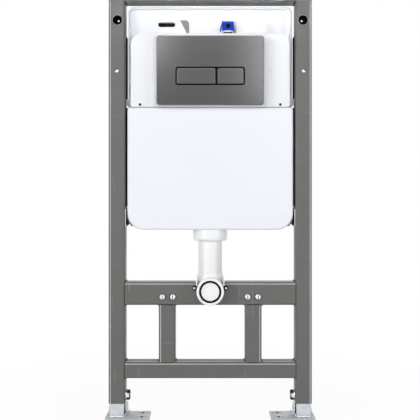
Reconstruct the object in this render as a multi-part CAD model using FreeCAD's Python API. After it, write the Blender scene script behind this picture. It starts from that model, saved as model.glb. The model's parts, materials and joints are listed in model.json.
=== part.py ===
"""Wall hung toilet frame: steel posts and rails, telescopic feet, concealed cistern and flush bend.

Millimetres, +Z up.  While the pieces are made, y = 0 is the front face of the posts and +y points to
the wall behind.  At the end everything moves along y, so that the origin lies on the floor under the
middle of the object.
"""
import FreeCAD
import Part
import math
import os

Vector = FreeCAD.Vector

# Driving dimensions of the steel frame
frame_width = 490.0
frame_height = 1012.0
post_size = 40.0
post_wall = 2.0
tube_corner = 6.0
post_bottom = 37.0
cap_height = 6.5
cap_plug_depth = 12.0
cap_edge_round = 4.0
fit_gap = 0.3

top_rail_height = 7.0
top_rail_sheet = 2.0
rail_notch_depth = 2.5
rail_slot_x = -145.0
rail_slot_top = 16.0
rail_slot_bottom = 8.0
rail_gap_x = 189.0
rail_gap_width = 17.0
bolt_rail_height = 56.0
bolt_rail_wall = 3.0
bolt_rail_bottom = 274.0
lower_rail_height = 40.0
lower_rail_bottom = 97.5
rail_wall = 2.0
strut_size = 40.0
strut_spacing = 208.0

# Holes in the posts
access_hole = 23.0
access_hole_drop = 52.5
access_hole_inset = 2.0
wall_screw_hole = 6.5
wall_screw_rise = 7.5
screw_hole = 9.0
screw_hole_drop = 174.0
screw_access_hole = 24.0

# Pan fixing studs
stud_diameter = 12.0
stud_hole = 16.0
stud_inner_spacing = 180.0
stud_pitch = 25.0
stud_rise = 20.5
stud_reach = 8.0
stud_tail = 22.0
stud_slot_width = 2.0
stud_slot_depth = 2.5
stud_chamfer = 1.0
stud_nut_across_flats = 19.0
stud_nut_height = 10.0

# Telescopic feet
leg_gap = 0.5
leg_wall = 2.0
leg_corner = 4.0
leg_length = 300.0
leg_slot_width = 22.0
leg_slot_end = 9.0
plate_thickness = 5.0
plate_depth = 60.0
plate_outer_overhang = 7.0
plate_inner_reach = 99.0
plate_corner = 4.0
gusset_sheet = 3.0
gusset_gap = 2.0
floor_hole = 9.0
floor_hole_spacing = 32.0
floor_hole_end = 19.0
anchor_hole = 5.0
anchor_hole_pitch = 10.0
lock_bolt_rise = 17.0
lock_bolt_diameter = 10.0
lock_flange = 24.0
lock_flange_height = 2.5
lock_head_across_flats = 16.0
lock_head_height = 7.5
foot_screw_diameter = 7.0
foot_screw_height = 27.0
foot_screw_y = 44.0
foot_nut_across_flats = 12.0
foot_nut_height = 5.0

# Cistern
tank_side_gap = 5.0
tank_bottom = 455.0
tank_top_gap = 5.0
tank_shelf_gap = 1.0
tank_front = 2.0
tank_upper_front = 36.0
tank_back = 96.0
tank_wall = 3.0
tank_bottom_corner = 40.0
tank_shelf_corner = 7.0
tank_top_corner = 14.0
tank_edge_round = 6.0
tank_rim = 6.0
tank_rim_rise = 8.0
tank_rim_round = 2.0
tank_lug_rise = 6.0
tank_lug_height = 18.0
tank_lug_slope = 4.0
tank_lug_depth = 14.0
bracket_sheet = 3.0
bracket_front = 8.0
bracket_rise = 9.0
bracket_height = 46.0

# Front panel and access shaft
panel_inset = 7.5
panel_foot_margin = 1.0
panel_head_margin = 13.5
panel_front = 5.0
panel_wall = 3.0
panel_top_corner = 28.0
panel_bottom_corner = 5.0
panel_edge_round = 2.5
panel_screw_hole = 5.5
panel_screw_inset = 23.5
panel_screw_rise = 5.7
thumb_radius = 17.0
thumb_inset = 4.0
thumb_depth = 1.8
thumb_drop = 6.5
shaft_side_margin = 8.5
shaft_head_margin = 1.5
shaft_front = -10.0
shaft_corner = 9.0
shaft_edge_round = 1.5
shaft_side_rim = 10.0
shaft_head_rim = 18.0
shaft_wall = 3.0
seat_gap = 10.0
seat_lap = 2.7
seat_sheet = 3.0

# Flush plate and buttons
plate_width = 255.0
plate_height = 164.0
plate_drop = 177.5
plate_skin = 2.0
plate_corner_round = 7.0
plate_edge_round = 1.5
button_height = 38.0
full_button_width = 92.0
half_button_width = 62.0
button_middle_gap = 5.0
button_gap = 3.0
button_drop = 14.0
button_proud = 0.5
button_thickness = 4.0
button_corner = 4.0
button_edge_round = 1.8
button_travel = 5.0
button_stop_gap = 1.7
carrier_margin = 12.0
carrier_sheet = 2.5
guide_pin = 6.0
guide_gap = 0.2
guide_sleeve = 10.0
guide_sleeve_length = 17.0
guide_pin_overrun = 2.0
guide_pin_inset = 14.0

# Fittings over the front panel
fitting_front = 14.0
fitting_wall = 2.5
fitting_gap = 1.0
hood_left = -139.0
hood_top_right = -74.5
hood_bottom_right = -56.5
hood_height = 34.0
hood_slot_width = 41.5
hood_slot_height = 11.5
hood_slot_x = -105.5
hood_slot_rise = 21.0
hood_pin_hole = 2.5
hood_pin_inset = 4.5
hood_pin_pitch = 6.5
hood_round = 3.0
inlet_left = 62.0
inlet_peak = 74.0
inlet_shoulder = 128.0
inlet_right = 140.5
inlet_height = 39.0
inlet_shoulder_height = 32.0
valve_x = 43.0
valve_rise = 14.0
valve_y = 12.0
valve_width = 28.0
valve_height = 21.4
valve_depth = 28.0
valve_round = 3.0
valve_bore = 12.0
valve_bore_depth = 14.0
valve_spigot = 18.0
valve_flange_sheet = 2.5
valve_flange_rise = 2.5
valve_flange_lean = 15.0
inlet_nut_diameter = 27.0
inlet_nut_height = 3.2
inlet_washer_diameter = 25.0
inlet_washer_height = 0.9
inlet_bore = 15.0

# Outlet
pipe_diameter = 59.0
pipe_wall = 3.0
pipe_entry = 14.0
collar_wall = 13.0
collar_height = 28.0
collar_round = 8.0
socket_wall = 3.7
elbow_front_diameter = 64.5
elbow_leg_diameter = 58.0
mouth_length = 12.0
elbow_wall = 3.5
socket_depth = 14.0
socket_rise = 36.0
socket_shoulder = 9.0
socket_lip = 1.2
bend_rise = 37.0
bend_clearance = 1.5
elbow_front = -40.0
elbow_edge_round = 2.0
mouth_rim = 6.25
seal_wall = 4.4
seal_length = 14.0
seal_lip = 0.8
plug_recess = 1.0
plug_length = 12.0
plug_wall = 2.5
clip_sheet = 4.0
clip_ring = 3.5
clip_ear_margin = 4.0
clip_ear_height = 11.0
clip_ear_rise = 4.5
clip_screw_inset = 9.0
clip_screw_head = 5.5
clip_screw_head_height = 2.5
clip_screw_shank = 4.0
clip_screw_length = 14.0

# Values worked out from the ones above: steel frame and feet
half_width = frame_width / 2
post_inner = half_width - post_size
post_center = half_width - post_size / 2
post_middle = post_size / 2
post_top = frame_height - cap_height
access_hole_z = frame_height - access_hole_drop
screw_hole_z = frame_height - screw_hole_drop
top_rail_bottom = frame_height - top_rail_height
lower_rail_top = lower_rail_bottom + lower_rail_height
strut_x = strut_spacing / 2
bolt_rail_top = bolt_rail_bottom + bolt_rail_height
stud_z = bolt_rail_bottom + stud_rise
stud_places = (stud_inner_spacing / 2, stud_inner_spacing / 2 + stud_pitch)
leg_size = post_size - 2 * post_wall - 2 * leg_gap
gusset_height = post_bottom - plate_thickness - gusset_gap
lock_bolt_z = post_bottom + lock_bolt_rise

# Values worked out from the ones above: flush plate and buttons
plate_z = frame_height - plate_drop
plate_deep = (button_thickness - button_proud + button_travel + button_stop_gap
              + carrier_sheet + fit_gap)
plate_front = shaft_front - plate_deep
button_z = plate_z - button_drop
opening_width = full_button_width + half_button_width + button_middle_gap + 2 * button_gap
opening_height = button_height + 2 * button_gap
full_button_x = -opening_width / 2 + button_gap + full_button_width / 2
half_button_x = opening_width / 2 - button_gap - half_button_width / 2
carrier_back = shaft_front - fit_gap
carrier_front = carrier_back - carrier_sheet

# Values worked out from the ones above: cistern, panel, shaft and fittings
tank_width = 2 * (post_inner - tank_side_gap)
tank_half = tank_width / 2
tank_top = top_rail_bottom - tank_top_gap
panel_width = tank_width - 2 * panel_inset
panel_bottom = plate_z - plate_height / 2 - panel_foot_margin
panel_top = plate_z + plate_height / 2 + panel_head_margin
tank_shelf = panel_bottom - tank_shelf_gap
shaft_width = plate_width + 2 * shaft_side_margin
shaft_height = plate_height + 2 * shaft_head_margin
shaft_opening_width = plate_width - 2 * shaft_side_rim
shaft_opening_height = plate_height - 2 * shaft_head_rim
sleeve_width = shaft_opening_width + 2 * shaft_wall
sleeve_height = shaft_opening_height + 2 * shaft_wall
bracket_bottom = tank_bottom + bracket_rise
bracket_top = bracket_bottom + bracket_height
fitting_bottom = panel_top + fitting_gap
hood_top = fitting_bottom + hood_height
hood_slot_z = fitting_bottom + hood_slot_rise
inlet_top = fitting_bottom + inlet_height
inlet_shoulder_z = fitting_bottom + inlet_shoulder_height
valve_z = fitting_bottom + valve_rise

# Values worked out from the ones above: outlet
outlet_y = (tank_front + tank_back) / 2
collar_diameter = pipe_diameter + 2 * collar_wall
elbow_diameter = pipe_diameter + 2 * fit_gap + 2 * socket_wall
elbow_z = bolt_rail_bottom + bend_rise
elbow_top = elbow_z + socket_rise
pipe_seat = elbow_top - socket_depth
seal_diameter = elbow_front_diameter - 2 * mouth_rim
seal_bore = seal_diameter - 2 * seal_wall
clip_screw_x = elbow_leg_diameter / 2 + clip_screw_inset
clip_screw_z = elbow_z + clip_ear_rise
clip_ear_reach = clip_screw_x + clip_ear_margin

# Directions for profiles drawn in the xy plane
ALONG_X = FreeCAD.Rotation(Vector(1, 1, 1), 120)
FACING_FRONT = FreeCAD.Rotation(Vector(1, 0, 0), 90)
UPRIGHT = FreeCAD.Rotation()
FRONT = Vector(0, -1, 0)
BACK = Vector(0, 1, 0)
UP = Vector(0, 0, 1)


def rounded_face(width, height, low_round, high_round=None):
    """A face in the xy plane, centred on the origin, with round corners below and above."""
    high_round = low_round if high_round is None else high_round
    half_w = width / 2
    half_h = height / 2
    quarter = 1 - math.sqrt(0.5)
    corners = [
        (Vector(half_w, -half_h, 0), Vector(-1, 0, 0), Vector(0, 1, 0), low_round),
        (Vector(half_w, half_h, 0), Vector(0, -1, 0), Vector(-1, 0, 0), high_round),
        (Vector(-half_w, half_h, 0), Vector(1, 0, 0), Vector(0, -1, 0), high_round),
        (Vector(-half_w, -half_h, 0), Vector(0, 1, 0), Vector(1, 0, 0), low_round),
    ]
    edges = []
    starts = []
    ends = []
    for corner, inward, onward, radius in corners:
        start = corner + inward * radius
        end = corner + onward * radius
        middle = corner + (inward + onward) * (radius * quarter)
        edges.append(Part.Arc(start, middle, end).toShape())
        starts.append(start)
        ends.append(end)
    for index in range(4):
        edges.append(Part.LineSegment(ends[index], starts[(index + 1) % 4]).toShape())
    return Part.Face(Part.Wire(Part.__sortEdges__(edges)))


def bar(width, height, length, low_round, place, turn=UPRIGHT, high_round=None):
    """A straight bar with a rounded rectangular section, from place along the turned z axis."""
    shape = rounded_face(width, height, low_round, high_round).extrude(UP * length)
    shape.Placement = FreeCAD.Placement(place, turn)
    return shape


def tube(width, height, wall, corner, length, place, turn=UPRIGHT):
    """A hollow bar with an even wall."""
    outer = bar(width, height, length, corner, place, turn)
    inner_corner = corner - wall if corner - wall > wall / 4 else wall / 4
    inner = bar(width - 2 * wall, height - 2 * wall, length, inner_corner, place, turn)
    return outer.cut(inner)


def slab(x, z, width, height, front, back, low_round, high_round=None):
    """A rounded rectangle facing the front, centred at x and z, from front to back."""
    return bar(width, height, back - front, low_round, Vector(x, back, z), FACING_FRONT, high_round)


def block(x0, x1, y0, y1, z0, z1):
    """A plain rectangular block between two corners."""
    return Part.makeBox(x1 - x0, y1 - y0, z1 - z0, Vector(x0, y0, z0))


def rod(diameter, length, base, direction):
    """A round bar from base along direction."""
    return Part.makeCylinder(diameter / 2, length, base, direction)


def hexagon(across_flats, height, base, direction):
    """A hexagonal prism from base along direction."""
    radius = across_flats / math.sqrt(3)
    points = []
    for index in range(7):
        angle = math.radians(60 * index)
        points.append(Vector(radius * math.cos(angle), radius * math.sin(angle), 0))
    shape = Part.Face(Part.makePolygon(points)).extrude(UP * height)
    shape.Placement = FreeCAD.Placement(base, FreeCAD.Rotation(UP, direction))
    return shape


def profile_face(points):
    """A flat face with straight sides through the given corners."""
    return Part.Face(Part.makePolygon(points + [points[0]]))


def edges_in_plane(shape, axis, value):
    """The edges of a shape that lie wholly in the plane where the named axis has this value."""
    found = []
    for edge in shape.Edges:
        low = getattr(edge.BoundBox, axis + "Min")
        high = getattr(edge.BoundBox, axis + "Max")
        if abs(low - value) < 1e-4 and abs(high - value) < 1e-4:
            found.append(edge)
    return found


def mirrored(shape):
    """The same piece on the other side of the middle plane x = 0."""
    return shape.mirror(Vector(0, 0, 0), Vector(1, 0, 0))


def joined(shapes):
    """One solid out of pieces that share faces or overlap."""
    shape = shapes[0].multiFuse(shapes[1:]).removeSplitter()
    return shape.Solids[0] if len(shape.Solids) == 1 else shape


# Steel frame
def post(side):
    """A square tube post with its wall fixing holes; side is -1 on the left and 1 on the right."""
    middle = side * post_center
    shape = tube(post_size, post_size, post_wall, tube_corner, post_top - post_bottom,
                 Vector(middle, post_middle, post_bottom))
    access_x = side * (post_center - access_hole_inset)
    cuts = [
        rod(access_hole, post_middle, Vector(access_x, 0, access_hole_z), BACK),
        rod(wall_screw_hole, post_middle,
            Vector(middle, post_middle, access_hole_z + wall_screw_rise), BACK),
        rod(screw_hole, post_middle, Vector(middle, 0, screw_hole_z), BACK),
        rod(screw_access_hole, post_middle, Vector(middle, post_middle, screw_hole_z), BACK),
        rod(lock_bolt_diameter + 2 * fit_gap, post_middle, Vector(middle, post_middle, lock_bolt_z),
            Vector(-side, 0, 0)),
    ]
    return shape.cut(cuts)


def post_cap(side):
    """A plug with a rounded head that closes the top of a post."""
    middle = side * post_center
    head = bar(post_size, post_size, cap_height, tube_corner, Vector(middle, post_middle, post_top))
    head = head.makeFillet(cap_edge_round, edges_in_plane(head, "Z", frame_height))
    plug_size = post_size - 2 * post_wall - 2 * fit_gap
    plug = tube(plug_size, plug_size, post_wall, tube_corner - post_wall, cap_plug_depth,
                Vector(middle, post_middle, post_top - cap_plug_depth))
    return joined([head, plug])


def top_rail():
    """A folded channel, open above, between the heads of the posts, with two notches in its front lip."""
    length = 2 * post_inner
    shape = block(-post_inner, post_inner, 0, post_size, top_rail_bottom, frame_height)
    shape = shape.makeFillet(top_rail_sheet, [edge for edge in edges_in_plane(shape, "Z", top_rail_bottom)
                                              if edge.Length > length / 2])
    trough = block(-post_inner, post_inner, top_rail_sheet, post_size - top_rail_sheet,
                   top_rail_bottom + top_rail_sheet, frame_height)
    notch_z = frame_height - rail_notch_depth
    hanging_slot = profile_face([
        Vector(rail_slot_x - rail_slot_top / 2, 0, frame_height),
        Vector(rail_slot_x + rail_slot_top / 2, 0, frame_height),
        Vector(rail_slot_x + rail_slot_bottom / 2, 0, notch_z),
        Vector(rail_slot_x - rail_slot_bottom / 2, 0, notch_z),
    ]).extrude(BACK * top_rail_sheet)
    lip_gap = block(rail_gap_x - rail_gap_width / 2, rail_gap_x + rail_gap_width / 2, 0, top_rail_sheet,
                    notch_z, frame_height)
    return shape.cut([trough, hanging_slot, lip_gap])


def bend_way():
    """The way through the bolt rail for the flush bend: round below, wider behind and open above."""
    wide = elbow_diameter / 2 + bend_clearance
    middle = Vector(0, post_middle, elbow_z)
    return [
        rod(elbow_leg_diameter + 2 * bend_clearance, post_middle, middle, FRONT),
        rod(2 * wide, post_middle, middle, BACK),
        block(-wide, wide, 0, post_size, elbow_z, bolt_rail_top),
    ]


def bolt_rail(side):
    """One half of the rail that carries the pan, from a post to the middle, notched for the flush bend."""
    base = 0 if side > 0 else -post_inner
    shape = tube(post_size, bolt_rail_height, bolt_rail_wall, tube_corner, post_inner,
                 Vector(base, post_middle, bolt_rail_bottom + bolt_rail_height / 2), ALONG_X)
    cuts = [rod(stud_hole, bolt_rail_wall, Vector(side * place, 0, stud_z), BACK) for place in stud_places]
    cuts.append(rod(clip_screw_shank + 2 * fit_gap, bolt_rail_wall,
                    Vector(side * clip_screw_x, 0, clip_screw_z), BACK))
    return shape.cut(cuts + bend_way())


def lower_rail():
    """The square rail low between the posts."""
    return tube(post_size, lower_rail_height, rail_wall, tube_corner, 2 * post_inner,
                Vector(-post_inner, post_middle, lower_rail_bottom + lower_rail_height / 2), ALONG_X)


def strut(side):
    """An upright between the lower rail and the bolt rail, under the pan studs."""
    return tube(strut_size, post_size, rail_wall, tube_corner, bolt_rail_bottom - lower_rail_top,
                Vector(side * strut_x, post_middle, lower_rail_top))


def pan_studs(side):
    """The two studs on one side that hold the pan, each with its nut inside the rail."""
    pieces = []
    for place in stud_places:
        x = side * place
        stud = rod(stud_diameter, stud_reach + stud_tail, Vector(x, -stud_reach, stud_z), BACK)
        stud = stud.makeChamfer(stud_chamfer, edges_in_plane(stud, "Y", -stud_reach))
        slot = block(x - stud_slot_width / 2, x + stud_slot_width / 2,
                     -stud_reach, stud_slot_depth - stud_reach,
                     stud_z - stud_diameter, stud_z + stud_diameter)
        nut = hexagon(stud_nut_across_flats, stud_nut_height, Vector(x, bolt_rail_wall, stud_z), BACK)
        pieces.append(joined([stud.cut(slot), nut]))
    return Part.makeCompound(pieces)


# Telescopic feet
def leg(side):
    """The tube that slides inside a post, slotted along its inner face; made on the right."""
    shape = tube(leg_size, leg_size, leg_wall, leg_corner, leg_length,
                 Vector(post_center, post_middle, plate_thickness))
    inner_face = post_center - leg_size / 2
    slot = block(inner_face, inner_face + leg_wall, post_middle - leg_slot_width / 2,
                 post_middle + leg_slot_width / 2, plate_thickness + leg_slot_end,
                 plate_thickness + leg_length - leg_slot_end)
    shape = shape.cut(slot)
    return shape if side > 0 else mirrored(shape)


def foot_plate(side):
    """The floor plate under a leg, with its side gusset and floor holes; made on the right."""
    outer = half_width + plate_outer_overhang
    inner = half_width - plate_inner_reach
    plate = bar(outer - inner, plate_depth, plate_thickness, plate_corner,
                Vector((outer + inner) / 2, post_middle, 0))
    leg_face = post_center + leg_size / 2
    gusset = profile_face([
        Vector(leg_face, post_middle - gusset_sheet / 2, plate_thickness),
        Vector(outer - plate_corner, post_middle - gusset_sheet / 2, plate_thickness),
        Vector(leg_face + gusset_sheet / 2, post_middle - gusset_sheet / 2, plate_thickness + gusset_height),
        Vector(leg_face, post_middle - gusset_sheet / 2, plate_thickness + gusset_height),
    ]).extrude(BACK * gusset_sheet)
    hole_x = inner + floor_hole_end
    cuts = []
    for step in (-1, 1):
        y = post_middle + step * floor_hole_spacing / 2
        cuts.append(rod(floor_hole, plate_thickness, Vector(hole_x, y, 0), UP))
        cuts.append(rod(anchor_hole, plate_thickness, Vector(hole_x - anchor_hole_pitch, y, 0), UP))
        cuts.append(rod(anchor_hole, plate_thickness, Vector(hole_x + anchor_hole_pitch, y, 0), UP))
    shape = joined([plate, gusset]).cut(cuts)
    return shape if side > 0 else mirrored(shape)


def lock_bolt(side):
    """The flanged bolt that clamps a leg from the inner face of its post; made on the right."""
    inward = Vector(-1, 0, 0)
    tip = Vector(post_center - leg_size / 2 - fit_gap, post_middle, lock_bolt_z)
    face = Vector(post_inner, post_middle, lock_bolt_z)
    shank = rod(lock_bolt_diameter, tip.x - face.x + lock_flange_height / 2, tip, inward)
    flange = rod(lock_flange, lock_flange_height, face, inward)
    flange = flange.makeFillet(lock_flange_height / 3,
                               edges_in_plane(flange, "X", face.x - lock_flange_height))
    head = hexagon(lock_head_across_flats, lock_head_height, face + inward * lock_flange_height, inward)
    shape = joined([shank, flange, head])
    return shape if side > 0 else mirrored(shape)


def foot_screw(side):
    """The upright screw with its nut on the inner back corner of a foot; made on the right."""
    base = Vector(post_inner, foot_screw_y, plate_thickness)
    screw = rod(foot_screw_diameter, foot_screw_height, base, UP)
    nut = hexagon(foot_nut_across_flats, foot_nut_height, base, UP)
    shape = joined([screw, nut])
    return shape if side > 0 else mirrored(shape)


# Cistern
def tank_body(shrink):
    """The cistern's outer form, or its inside when shrunk by the wall."""
    width = tank_width - 2 * shrink
    bottom = tank_bottom + shrink
    edge_round = tank_edge_round - shrink
    lower_top = tank_shelf - shrink
    upper_top = tank_top - shrink
    back = tank_back - shrink
    parts = []
    for front, top, top_corner in ((tank_front, lower_top, tank_shelf_corner),
                                   (tank_upper_front, upper_top, tank_top_corner)):
        front = front + shrink
        body = slab(0, (top + bottom) / 2, width, top - bottom, front, back,
                    tank_bottom_corner - shrink, top_corner - shrink)
        rims = edges_in_plane(body, "Y", front) + edges_in_plane(body, "Y", back)
        parts.append(body.makeFillet(edge_round, rims))
    return joined(parts)


def upper_rim():
    """The raised lip along the sides and the top of the cistern's recessed upper half."""
    front = tank_upper_front - tank_rim_rise
    root = tank_upper_front + tank_edge_round
    bottom = tank_shelf - tank_edge_round
    low = bottom - 2 * tank_top_corner
    shape = slab(0, (low + tank_top) / 2, tank_width, tank_top - low, front, root, tank_top_corner)
    tray_top = tank_top - tank_rim
    tray = slab(0, (low + tray_top) / 2, tank_width - 2 * tank_rim, tray_top - low, front, root,
                tank_top_corner - tank_rim)
    below = block(-tank_half, tank_half, front, root, low, bottom)
    rim = shape.cut([tray, below])
    long_edges = [edge for edge in edges_in_plane(rim, "Y", front) if edge.Length > 1.5 * tank_rim]
    return rim.makeFillet(tank_rim_round, long_edges)


def tank_lug(side):
    """A small lug on the side of the cistern that steadies it against a post; made on the right."""
    low = tank_shelf + tank_lug_rise
    high = low + tank_lug_height
    root = tank_half - tank_edge_round
    tip = post_inner - fit_gap
    front = tank_upper_front - tank_rim_rise + tank_rim_round
    shape = profile_face([
        Vector(root, front, low),
        Vector(tank_half, front, low),
        Vector(tip, front, low + tank_lug_slope),
        Vector(tip, front, high - tank_lug_slope),
        Vector(tank_half, front, high),
        Vector(root, front, high),
    ]).extrude(BACK * tank_lug_depth)
    return shape if side > 0 else mirrored(shape)


def cistern():
    """The hollow cistern, with its rim, lugs, service opening and outlet hole."""
    shape = joined([tank_body(0), upper_rim(), tank_lug(-1), tank_lug(1)]).cut(tank_body(tank_wall))
    service = slab(0, plate_z, sleeve_width + 2 * seat_gap, sleeve_height + 2 * seat_gap,
                   tank_upper_front, tank_upper_front + tank_wall, shaft_corner)
    outlet = rod(pipe_diameter + 4 * fit_gap, tank_wall, Vector(0, outlet_y, tank_bottom), UP)
    return shape.cut([service, outlet])


def tank_bracket(side):
    """A folded bracket on a post that cradles the lower corner of the cistern; made on the right."""
    arc_x = tank_half - tank_bottom_corner
    arc_z = tank_bottom + tank_bottom_corner
    inner = tank_bottom_corner + fit_gap
    outer = inner + bracket_sheet
    span_back = post_size - bracket_front
    cradle = rod(2 * outer, span_back, Vector(arc_x, bracket_front, arc_z), BACK)
    cradle = cradle.cut(rod(2 * inner, span_back, Vector(arc_x, bracket_front, arc_z), BACK))
    keep = block(arc_x + inner / 2, post_inner, bracket_front, post_size, bracket_bottom, arc_z)
    flange = block(post_inner - bracket_sheet, post_inner, bracket_front, post_size,
                   bracket_bottom, bracket_top)
    web = profile_face([
        Vector(post_inner, post_middle, bracket_bottom),
        Vector(post_inner, post_middle, arc_z),
        Vector(arc_x, post_middle, arc_z),
    ]).extrude(BACK * bracket_sheet)
    web = web.common(keep).cut(rod(2 * inner, span_back, Vector(arc_x, bracket_front, arc_z), BACK))
    shape = joined([cradle.common(keep), flange, web])
    return shape if side > 0 else mirrored(shape)


# Front panel and access shaft
def front_panel():
    """The moulded cover over the upper cistern, open behind, with thumb recesses beside the shaft."""
    height = panel_top - panel_bottom
    middle = panel_bottom + height / 2
    shape = slab(0, middle, panel_width, height, panel_front, tank_upper_front, panel_bottom_corner,
                 panel_top_corner)
    shape = shape.makeFillet(panel_edge_round, edges_in_plane(shape, "Y", panel_front))
    hollow = slab(0, middle, panel_width - 2 * panel_wall, height - 2 * panel_wall, panel_front + panel_wall,
                  tank_upper_front, panel_bottom_corner - panel_wall, panel_top_corner - panel_wall)
    window = slab(0, plate_z, sleeve_width + 2 * fit_gap, sleeve_height + 2 * fit_gap,
                  panel_front, panel_front + panel_wall, shaft_corner)
    cuts = [hollow, window]
    for side in (-1, 1):
        thumb = Vector(side * (shaft_width / 2 - thumb_inset), panel_front, plate_z - thumb_drop)
        cuts.append(rod(2 * thumb_radius, thumb_depth, thumb, BACK))
        screw = Vector(side * (panel_width / 2 - panel_screw_inset), panel_front,
                       panel_bottom + panel_screw_rise)
        cuts.append(rod(panel_screw_hole, panel_wall, screw, BACK))
    return shape.cut(cuts)


def access_shaft():
    """The sleeve from the cistern to the flush plate, with a front flange and a seat on the cistern."""
    flange = slab(0, plate_z, shaft_width, shaft_height, shaft_front, panel_front, shaft_corner)
    flange = flange.makeFillet(shaft_edge_round, edges_in_plane(flange, "Y", shaft_front))
    back = tank_upper_front + tank_wall
    sleeve = slab(0, plate_z, sleeve_width, sleeve_height, panel_front, back, shaft_corner)
    seat = 2 * (seat_gap + seat_lap)
    collar = slab(0, plate_z, sleeve_width + seat, sleeve_height + seat,
                  tank_upper_front - seat_sheet, tank_upper_front, shaft_corner)
    bore = slab(0, plate_z, shaft_opening_width, shaft_opening_height, shaft_front, back,
                shaft_corner - shaft_wall)
    return joined([flange, sleeve, collar]).cut(bore)


# Flush plate and buttons
def flush_plate():
    """The thin-walled operating plate with a collared opening for the buttons."""
    shape = slab(0, plate_z, plate_width, plate_height, plate_front, shaft_front, plate_corner_round)
    shape = shape.makeFillet(plate_edge_round, edges_in_plane(shape, "Y", plate_front))
    hollow = slab(0, plate_z, plate_width - 2 * plate_skin, plate_height - 2 * plate_skin,
                  plate_front + plate_skin, shaft_front, plate_corner_round - plate_skin)
    collar = slab(0, button_z, opening_width + 2 * plate_skin, opening_height + 2 * plate_skin,
                  plate_front + plate_skin, carrier_front, button_corner + button_gap + plate_skin)
    opening = slab(0, button_z, opening_width, opening_height, plate_front, carrier_front,
                   button_corner + button_gap)
    return joined([shape.cut(hollow), collar]).cut(opening)


def guide_positions(center, width):
    """The x places of a button's two guide pins."""
    return [center + step * (width / 2 - guide_pin_inset) for step in (-1, 1)]


def button_carrier():
    """The plate behind the opening, with a sleeve for each guide pin."""
    shape = slab(0, button_z, opening_width + 2 * carrier_margin, opening_height + 2 * carrier_margin,
                 carrier_front, carrier_back, button_corner)
    sleeves = []
    bores = []
    for center, width in ((full_button_x, full_button_width), (half_button_x, half_button_width)):
        for x in guide_positions(center, width):
            place = Vector(x, carrier_front, button_z)
            sleeves.append(rod(guide_sleeve, guide_sleeve_length, place, BACK))
            bores.append(rod(guide_pin + 2 * guide_gap, guide_sleeve_length, place, BACK))
    return joined([shape] + sleeves).cut(bores)


def flush_button(center, width):
    """A press button with a softened front edge and two guide pins behind."""
    front = plate_front - button_proud
    back = front + button_thickness
    face = slab(center, button_z, width, button_height, front, back, button_corner)
    face = face.makeFillet(button_edge_round, edges_in_plane(face, "Y", front))
    pin_length = carrier_front + guide_sleeve_length - guide_pin_overrun - back
    pins = [rod(guide_pin, pin_length, Vector(x, back, button_z), BACK)
            for x in guide_positions(center, width)]
    return joined([face] + pins)


# Fittings over the front panel
def hood_shell(corners):
    """A hollow moulded hood on the cistern's front, from its outline seen from the front."""
    outline = profile_face([Vector(x, fitting_front, z) for x, z in corners])
    depth = tank_upper_front - fitting_front
    shape = outline.extrude(BACK * depth)
    corner_edges = [edge for edge in shape.Edges if edge.BoundBox.YLength > depth / 2]
    shape = shape.makeFillet(hood_round, corner_edges)
    inner = outline.Wires[0].makeOffset2D(-fitting_wall)
    hollow = Part.Face(inner).extrude(BACK * depth)
    hollow.translate(BACK * fitting_wall)
    return shape.cut(hollow)


def slotted_hood():
    """The white hood on the left with its rounded slot and two pin holes."""
    shape = hood_shell([(hood_left, fitting_bottom), (hood_bottom_right, fitting_bottom),
                        (hood_top_right, hood_top), (hood_left, hood_top)])
    slot = slab(hood_slot_x, hood_slot_z, hood_slot_width, hood_slot_height, fitting_front,
                fitting_front + fitting_wall, hood_slot_height / 2 - fit_gap)
    pin_x = hood_top_right - hood_pin_inset
    pin_z = hood_top - hood_pin_inset
    pins = [rod(hood_pin_hole, fitting_wall, Vector(pin_x, fitting_front, pin_z - drop), BACK)
            for drop in (0, hood_pin_pitch)]
    return shape.cut([slot] + pins)


def inlet_housing():
    """The white housing on the right, beside the inlet valve."""
    return hood_shell([(inlet_left, fitting_bottom), (inlet_right, fitting_bottom),
                       (inlet_shoulder, inlet_shoulder_z), (inlet_peak, inlet_top),
                       (inlet_left, inlet_shoulder_z)])


def inlet_valve():
    """The blue inlet valve: a rounded block with a bore in front, a leaning flange and a spigot behind."""
    front = valve_y - valve_depth / 2
    back = valve_y + valve_depth / 2
    body = slab(valve_x, valve_z, valve_width, valve_height, front, back, valve_round)
    spigot = rod(valve_spigot, tank_upper_front - back, Vector(valve_x, back, valve_z), BACK)
    left = valve_x - valve_width / 2
    low = valve_z - valve_height / 2
    high = valve_z + valve_height / 2
    head = high + valve_flange_rise
    foot = low + valve_round
    reach = (head - foot) * math.tan(math.radians(valve_flange_lean))
    flange = profile_face([
        Vector(left + valve_flange_sheet, front + valve_round, head),
        Vector(left, front + valve_round, head),
        Vector(left - reach, front + valve_round, foot),
        Vector(left - reach + valve_flange_sheet, front + valve_round, foot),
    ]).extrude(BACK * (valve_depth - 2 * valve_round))
    bore = rod(valve_bore, valve_bore_depth, Vector(valve_x, front, valve_z), BACK)
    return joined([body, spigot, flange]).cut(bore)


def inlet_ring(diameter, height, top):
    """A ring on the inlet's upright axis, hanging from the given height."""
    base = Vector(valve_x, valve_y, top - height)
    ring = rod(diameter, height, base, UP)
    return ring.cut(rod(inlet_bore, height, base, UP))


# Outlet
def outlet_collar():
    """The rounded nut under the cistern that holds the flush pipe."""
    base = Vector(0, outlet_y, tank_bottom - collar_height)
    shape = rod(collar_diameter, collar_height, base, UP)
    shape = shape.makeFillet(collar_round, edges_in_plane(shape, "Z", base.z))
    return shape.cut(rod(pipe_diameter + 2 * fit_gap, collar_height, base, UP))


def flush_pipe():
    """The upright pipe from the cistern's outlet into the bend."""
    base = Vector(0, outlet_y, pipe_seat)
    length = tank_bottom + pipe_entry - base.z
    shape = rod(pipe_diameter, length, base, UP)
    return shape.cut(rod(pipe_diameter - 2 * pipe_wall, length, base, UP))


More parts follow.
